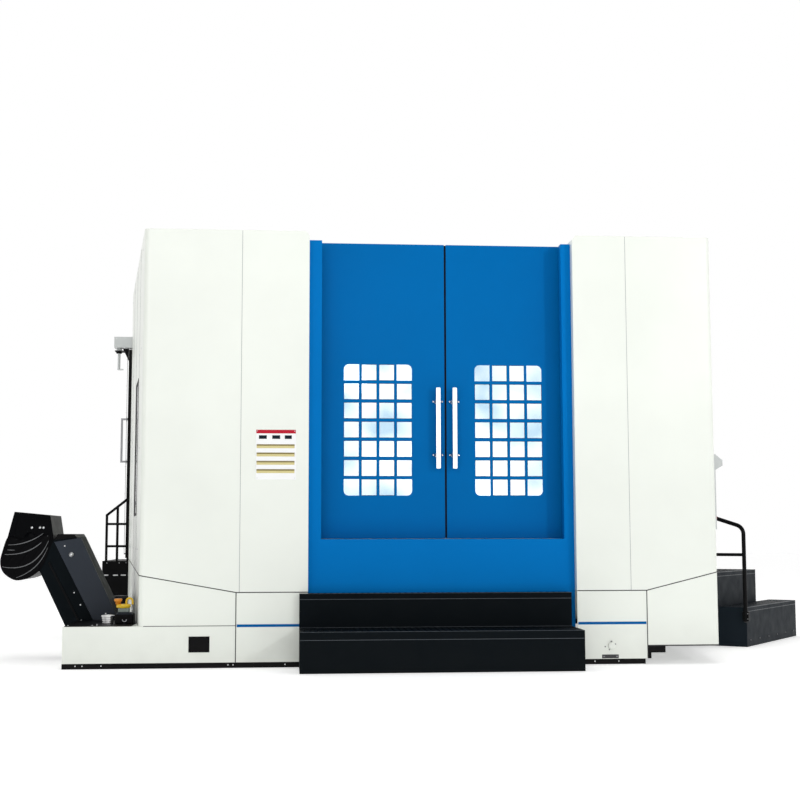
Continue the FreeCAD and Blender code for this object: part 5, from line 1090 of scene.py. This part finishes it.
for x in (-1.90, -0.95, 1.45, 2.05):
    ribbon(joints, [[x, REAR_Y, 0.09], [x, REAR_Y, 3.53]], [0, 1, 0], 0.005, 0.0008)
for x in np.arange(-2.75, 2.65, 0.45):
    for z in (0.30, 1.25, 2.35, 3.45):
        if 0.25 < x < 1.45 and z < 2.3:
            continue
        screws.lathe((x, REAR_Y, z), (0, 1, 0), SCREW_DOME, 12)
joints.done("wall_joint_strips", rubber)
screws.done("wall_screws", zinc)


# %% Louvres
def louvres(batch, base, along, up, out, count, wide, pitch, deep=0.014):
    """Pressed louvres: in section a lip leaves the sheet at the top, slopes outwards as it falls,
    and ends in a free edge; its two ends taper back into the sheet along a quarter ellipse."""
    along, up, out, base = (np.asarray(v, float) for v in (along, up, out, base))
    u = np.linspace(-1, 1, 25)
    taper = np.sqrt(np.clip(1 - np.abs(u) ** 8, 0, 1))
    v = np.linspace(0, 1, 5)
    push = deep * np.sin(v * math.pi / 2)[:, None] * taper
    for n in range(count):
        start = base + up * (pitch * n)
        flat = start + (u * wide / 2)[None, :, None] * along + ((1 - v) * pitch * 0.62)[:, None, None] * up
        outer = flat + (push + 0.0006)[..., None] * out
        inner = flat + (push - 0.0010)[..., None] * out
        ring = np.concatenate([outer, inner[::-1]], 0).transpose(1, 0, 2)
        batch.add(ring, ring_faces(len(u), 10))
    return batch


BACKWARDS = ((-1, 0, 0), (0, 0, 1), (0, 1, 0))
slats = Batch()
louvres(slats, (0.72, 5.7418, 0.28), *BACKWARDS, 12, 0.34, 0.030)
louvres(slats, (0.72, 5.7418, 1.78), *BACKWARDS, 8, 0.34, 0.030)
slats.done("cabinet_louvres", light_grey, "cabinet_door")
slats = Batch()
louvres(slats, (-1.42, 5.1502, 2.80), *BACKWARDS, 16, 0.70, 0.034)
louvres(slats, (-1.42, 5.1502, 0.35), *BACKWARDS, 16, 0.70, 0.034)
slats.done("rear_louvres", white)
latch = Batch()
for z in (0.55, 1.15, 1.75):
    latch.lathe((0.375, 5.741, z), (0, 1, 0),
                [(0, 0.020), (0.004, 0.020), (0.007, 0.014), (0.010, 0.012)], 24)
    latch.block((0.369, 5.748, z - 0.045), (0.381, 5.757, z + 0.012), 0.002)
latch.done("cabinet_latches", bright, "cabinet_door")
turned("cabinet_hinge_knuckles", zinc, [(1.398, 5.7468, z - 0.045) for z in (0.35, 1.15, 1.95)],
       (0, 0, 1), [(0, 0.0062), (0.002, 0.0075), (0.088, 0.0075), (0.090, 0.0062)], 16)
seal = Batch()
for a, b, c, d in four_bars(0.315, 1.385, 0.118, 2.182, 0.010):
    seal.block((a, 5.7408, c), (b, 5.7422, d))
seal.done("cabinet_door_lines", plastic_grey, "cabinet_door")

# %% Roof ribs and lifting eyes
roof = high("rear_casing")[2]
ribs = Batch()
for y in np.arange(0.75, 5.0, 0.62):
    ribs.block((-2.30, y, roof - 0.002), (2.10, y + 0.05, roof + 0.022), 0.004)
ribs.done("roof_ribs", white)
eyes = Batch()
bend = np.linspace(0, math.pi, 17)
for x in (-1.95, 1.75):
    for y in (1.05, 4.55):
        loop = np.column_stack([np.full(17, x), y + 0.022 * np.cos(bend),
                                roof + 0.003 + 0.024 * np.sin(bend)])
        eyes.tube(loop, 0.006, 14)
        eyes.lathe((x, y, roof), (0, 0, 1), [(0, 0.040), (0.004, 0.040), (0.006, 0.034)], 26)
eyes.done("lifting_eyes", dark_steel)

# %% [markdown]
# ## Inside the machine
#
# The working space is seen when the doors slide open. Ball screws have a rolled thread, which is a
# helix of round section. The pallet has a grid of tapped holes, and the tools stand in holders
# with a gripping groove.


# %% Screw threads: a round-bottomed helix on a tube
def threaded(name, base, axis, length, radius, lead, body, finish):
    """Radius at a point = radius - 0.0016 (1 + cos(turn of the helix there)) on a grid of the angle
    round the screw and the distance along it."""
    axis = np.asarray(axis, float)
    side = np.array([1.0, 0, 0]) if abs(axis[0]) < 0.5 else np.array([0, 1.0, 0])
    other = np.cross(axis, side)
    per_turn, around = 6, 18
    count = int(length / lead * per_turn) + 1
    along = np.linspace(0, length, count)
    angle = np.linspace(0, 2 * math.pi, around, endpoint=False)
    phase = 2 * math.pi * along[:, None] / lead - angle[None, :]
    size = radius + 0.0004 - 0.0016 * (1 - np.cos(phase)) * 0.5
    points = (np.asarray(base, float) + along[:, None, None] * axis
              + (size * np.cos(angle))[..., None] * side + (size * np.sin(angle))[..., None] * other)
    made = Batch()
    made.add(points, ring_faces(count, around), True)
    return made.done(name, finish, body)


SCREW_RADIUS, SCREW_LEAD = 0.0255, 0.020
for name, base, axis, length in (("table", (0, 1.46, 0.64), (0, 1, 0), 1.78),
                                 ("column", (-1.70, 4.295, 0.64), (1, 0, 0), 3.08),
                                 ("head", (0.305, 4.01, 1.03), (0, 0, 1), 1.93)):
    threaded(f"{name}_screw_thread", base, axis, length, SCREW_RADIUS, SCREW_LEAD,
             f"{name}_feed_screw", ground)

# %% Pallet holes: a raised rim round a flat dark disc, which is painted shade for the hole's depth
holes = Batch()
for x in np.arange(-0.4, 0.41, 0.1):
    for y in np.arange(-0.4, 0.41, 0.1):
        if math.hypot(x, y) < 0.06 or (abs(abs(x) - 0.4) < 0.01 and abs(abs(y) - 0.4) < 0.01):
            continue
        holes.lathe((x, 2.15 + y, 1.250), (0, 0, 1),
                    [(0, 0.0125), (0.0006, 0.0125), (0.0008, 0.0085), (0.0002, 0.0080)], 20)
holes.done("pallet_hole_rims_and_painted_shade", dark_steel, "rotary")

# %% Tool holders in the disc, and one in the spindle
HOLDER = [(-0.003, 0.040), (0.002, 0.0485), (0.010, 0.0485), (0.014, 0.042), (0.018, 0.042),
          (0.022, 0.0485), (0.032, 0.0485), (0.034, 0.034), (0.060, 0.032), (0.062, 0.028)]
holders, tools = Batch(), Batch()
for n in range(20):
    turn = 2 * math.pi * n / 20
    spot = np.array([-1.9 + 0.48 * math.cos(turn), 3.04, 2.3 + 0.48 * math.sin(turn)])
    holders.lathe(spot, (0, -1, 0), HOLDER, 30)
    reach = 0.05 + 0.06 * ((n * 7) % 5) / 4
    radius = 0.006 + 0.010 * ((n * 3) % 4) / 3
    tools.lathe(spot + [0, -0.060, 0], (0, -1, 0),
                [(0, radius), (reach, radius), (reach + radius * 0.6, radius * 0.1)], 18)
holders.done("tool_holders", bright, "tool_disc")
tools.done("tools", dark_steel, "tool_disc")
turned("spindle_tool", bright, [(0, 2.7005, 1.8)], (0, -1, 0),
       [(-0.001, 0.046), (0.004, 0.050), (0.014, 0.050), (0.018, 0.044), (0.022, 0.050), (0.032, 0.050),
        (0.036, 0.034), (0.080, 0.032), (0.082, 0.018), (0.150, 0.018), (0.158, 0.004)], 36, body="spindle")

# %% Work lamp over the door opening
one_block("work_lamp", lamp_white, (-0.60, 0.395, 3.36), (0.60, 0.455, 3.40), 0.006)

# %% [markdown]
# ## Floor, light and camera
#
# The machine stands on a pale floor in soft, even light, as for a catalogue. A broad soft box
# stands in front, high and a little to the left, and the surroundings glow evenly, so no side of
# the machine goes black. The long lens from well back keeps upright lines nearly upright.

# %% Floor and light
FLOOR_REACH, FLOOR_Z = 60, -0.002
floor = pour("floor", [[x * FLOOR_REACH, y * FLOOR_REACH, FLOOR_Z]
                       for x, y in ((-1, -1), (1, -1), (1, 1), (-1, 1))], [[0, 1, 2, 3]])
floor_finish, tree, shader, place = start_finish("floor_pale")
tree.links.new(mix_colour(tree, noise(tree, place, 0.6, 3), (0.86, 0.86, 0.86), (0.89, 0.89, 0.89)),
               shader.inputs["Base Color"])
shader.inputs["Roughness"].default_value = 0.8
shader.inputs["Specular IOR Level"].default_value = 0.1
shader.inputs["Emission Color"].default_value = (1, 1, 1, 1)
shader.inputs["Emission Strength"].default_value = 0.42
floor.data.materials.append(floor_finish)

world = bpy.data.worlds.new("studio")
world.use_nodes = True
scene.world = world
sky = world.node_tree
background = sky.nodes["Background"]
facing = sky.nodes.new("ShaderNodeSeparateXYZ")
heading = sky.nodes.new("ShaderNodeTexCoord")
sky.links.new(heading.outputs["Generated"], facing.inputs["Vector"])
sideways = spread(sky, facing.outputs["Y"], -0.55, 0.35, 0.12, 1.0)
near_horizon = spread(sky, facing.outputs["Z"], 0.09, 0.34, 1.0, 0.0)
brighter = sky.nodes.new("ShaderNodeMath")
brighter.operation = "MAXIMUM"
sky.links.new(sideways, brighter.inputs[0])
sky.links.new(near_horizon, brighter.inputs[1])
sky_colour = mix_colour(sky, brighter.outputs[0], (0.0, 0.0, 0.0), (1.0, 1.0, 1.0))
sky.links.new(sky_colour, background.inputs["Color"])
background.inputs["Strength"].default_value = 1.0


def soft_box(name, spot, target, wide, tall, watts):
    """A rectangular lamp that faces a target."""
    data = bpy.data.lights.new(name, "AREA")
    data.shape, data.size, data.size_y, data.energy = "RECTANGLE", wide, tall, watts
    made = bpy.data.objects.new(name, data)
    scene.collection.objects.link(made)
    aim = Vector(target) - Vector(spot)
    made.matrix_world = Matrix.Translation(spot) @ aim.to_track_quat("-Z", "Y").to_matrix().to_4x4()
    return made


soft_box("key_box", (-3.5, -12.5, 6.2), (0, 0.5, 1.9), 8.0, 5.0, 330)
soft_box("window_box", (2.0, -13.5, 3.3), (0.0, 0.3, 2.0), 6.0, 3.4, 70)
soft_box("side_box", (7.4, -10.6, 5.4), (0.6, 0.3, 1.8), 0.7, 0.7, 300)
soft_box("top_box", (0.0, 1.5, 9.0), (0, 2.0, 2.0), 9.0, 8.0, 260)

# %% Camera
camera_data = bpy.data.cameras.new("camera")
camera_data.sensor_width = 36
camera_data.lens = 59.9
camera = bpy.data.objects.new("camera", camera_data)
scene.collection.objects.link(camera)
turn_right, tilt_up, roll = math.radians(4.74), math.radians(5.76), math.radians(-0.11)
camera.matrix_world = (Matrix.Translation((-1.272, -10.98, 1.07)) @ Matrix.Rotation(-turn_right, 4, "Z")
                       @ Matrix.Rotation(math.pi / 2 + tilt_up, 4, "X") @ Matrix.Rotation(roll, 4, "Z"))
scene.camera = camera
scene.view_settings.view_transform = "Standard"
scene.view_settings.look = "None"
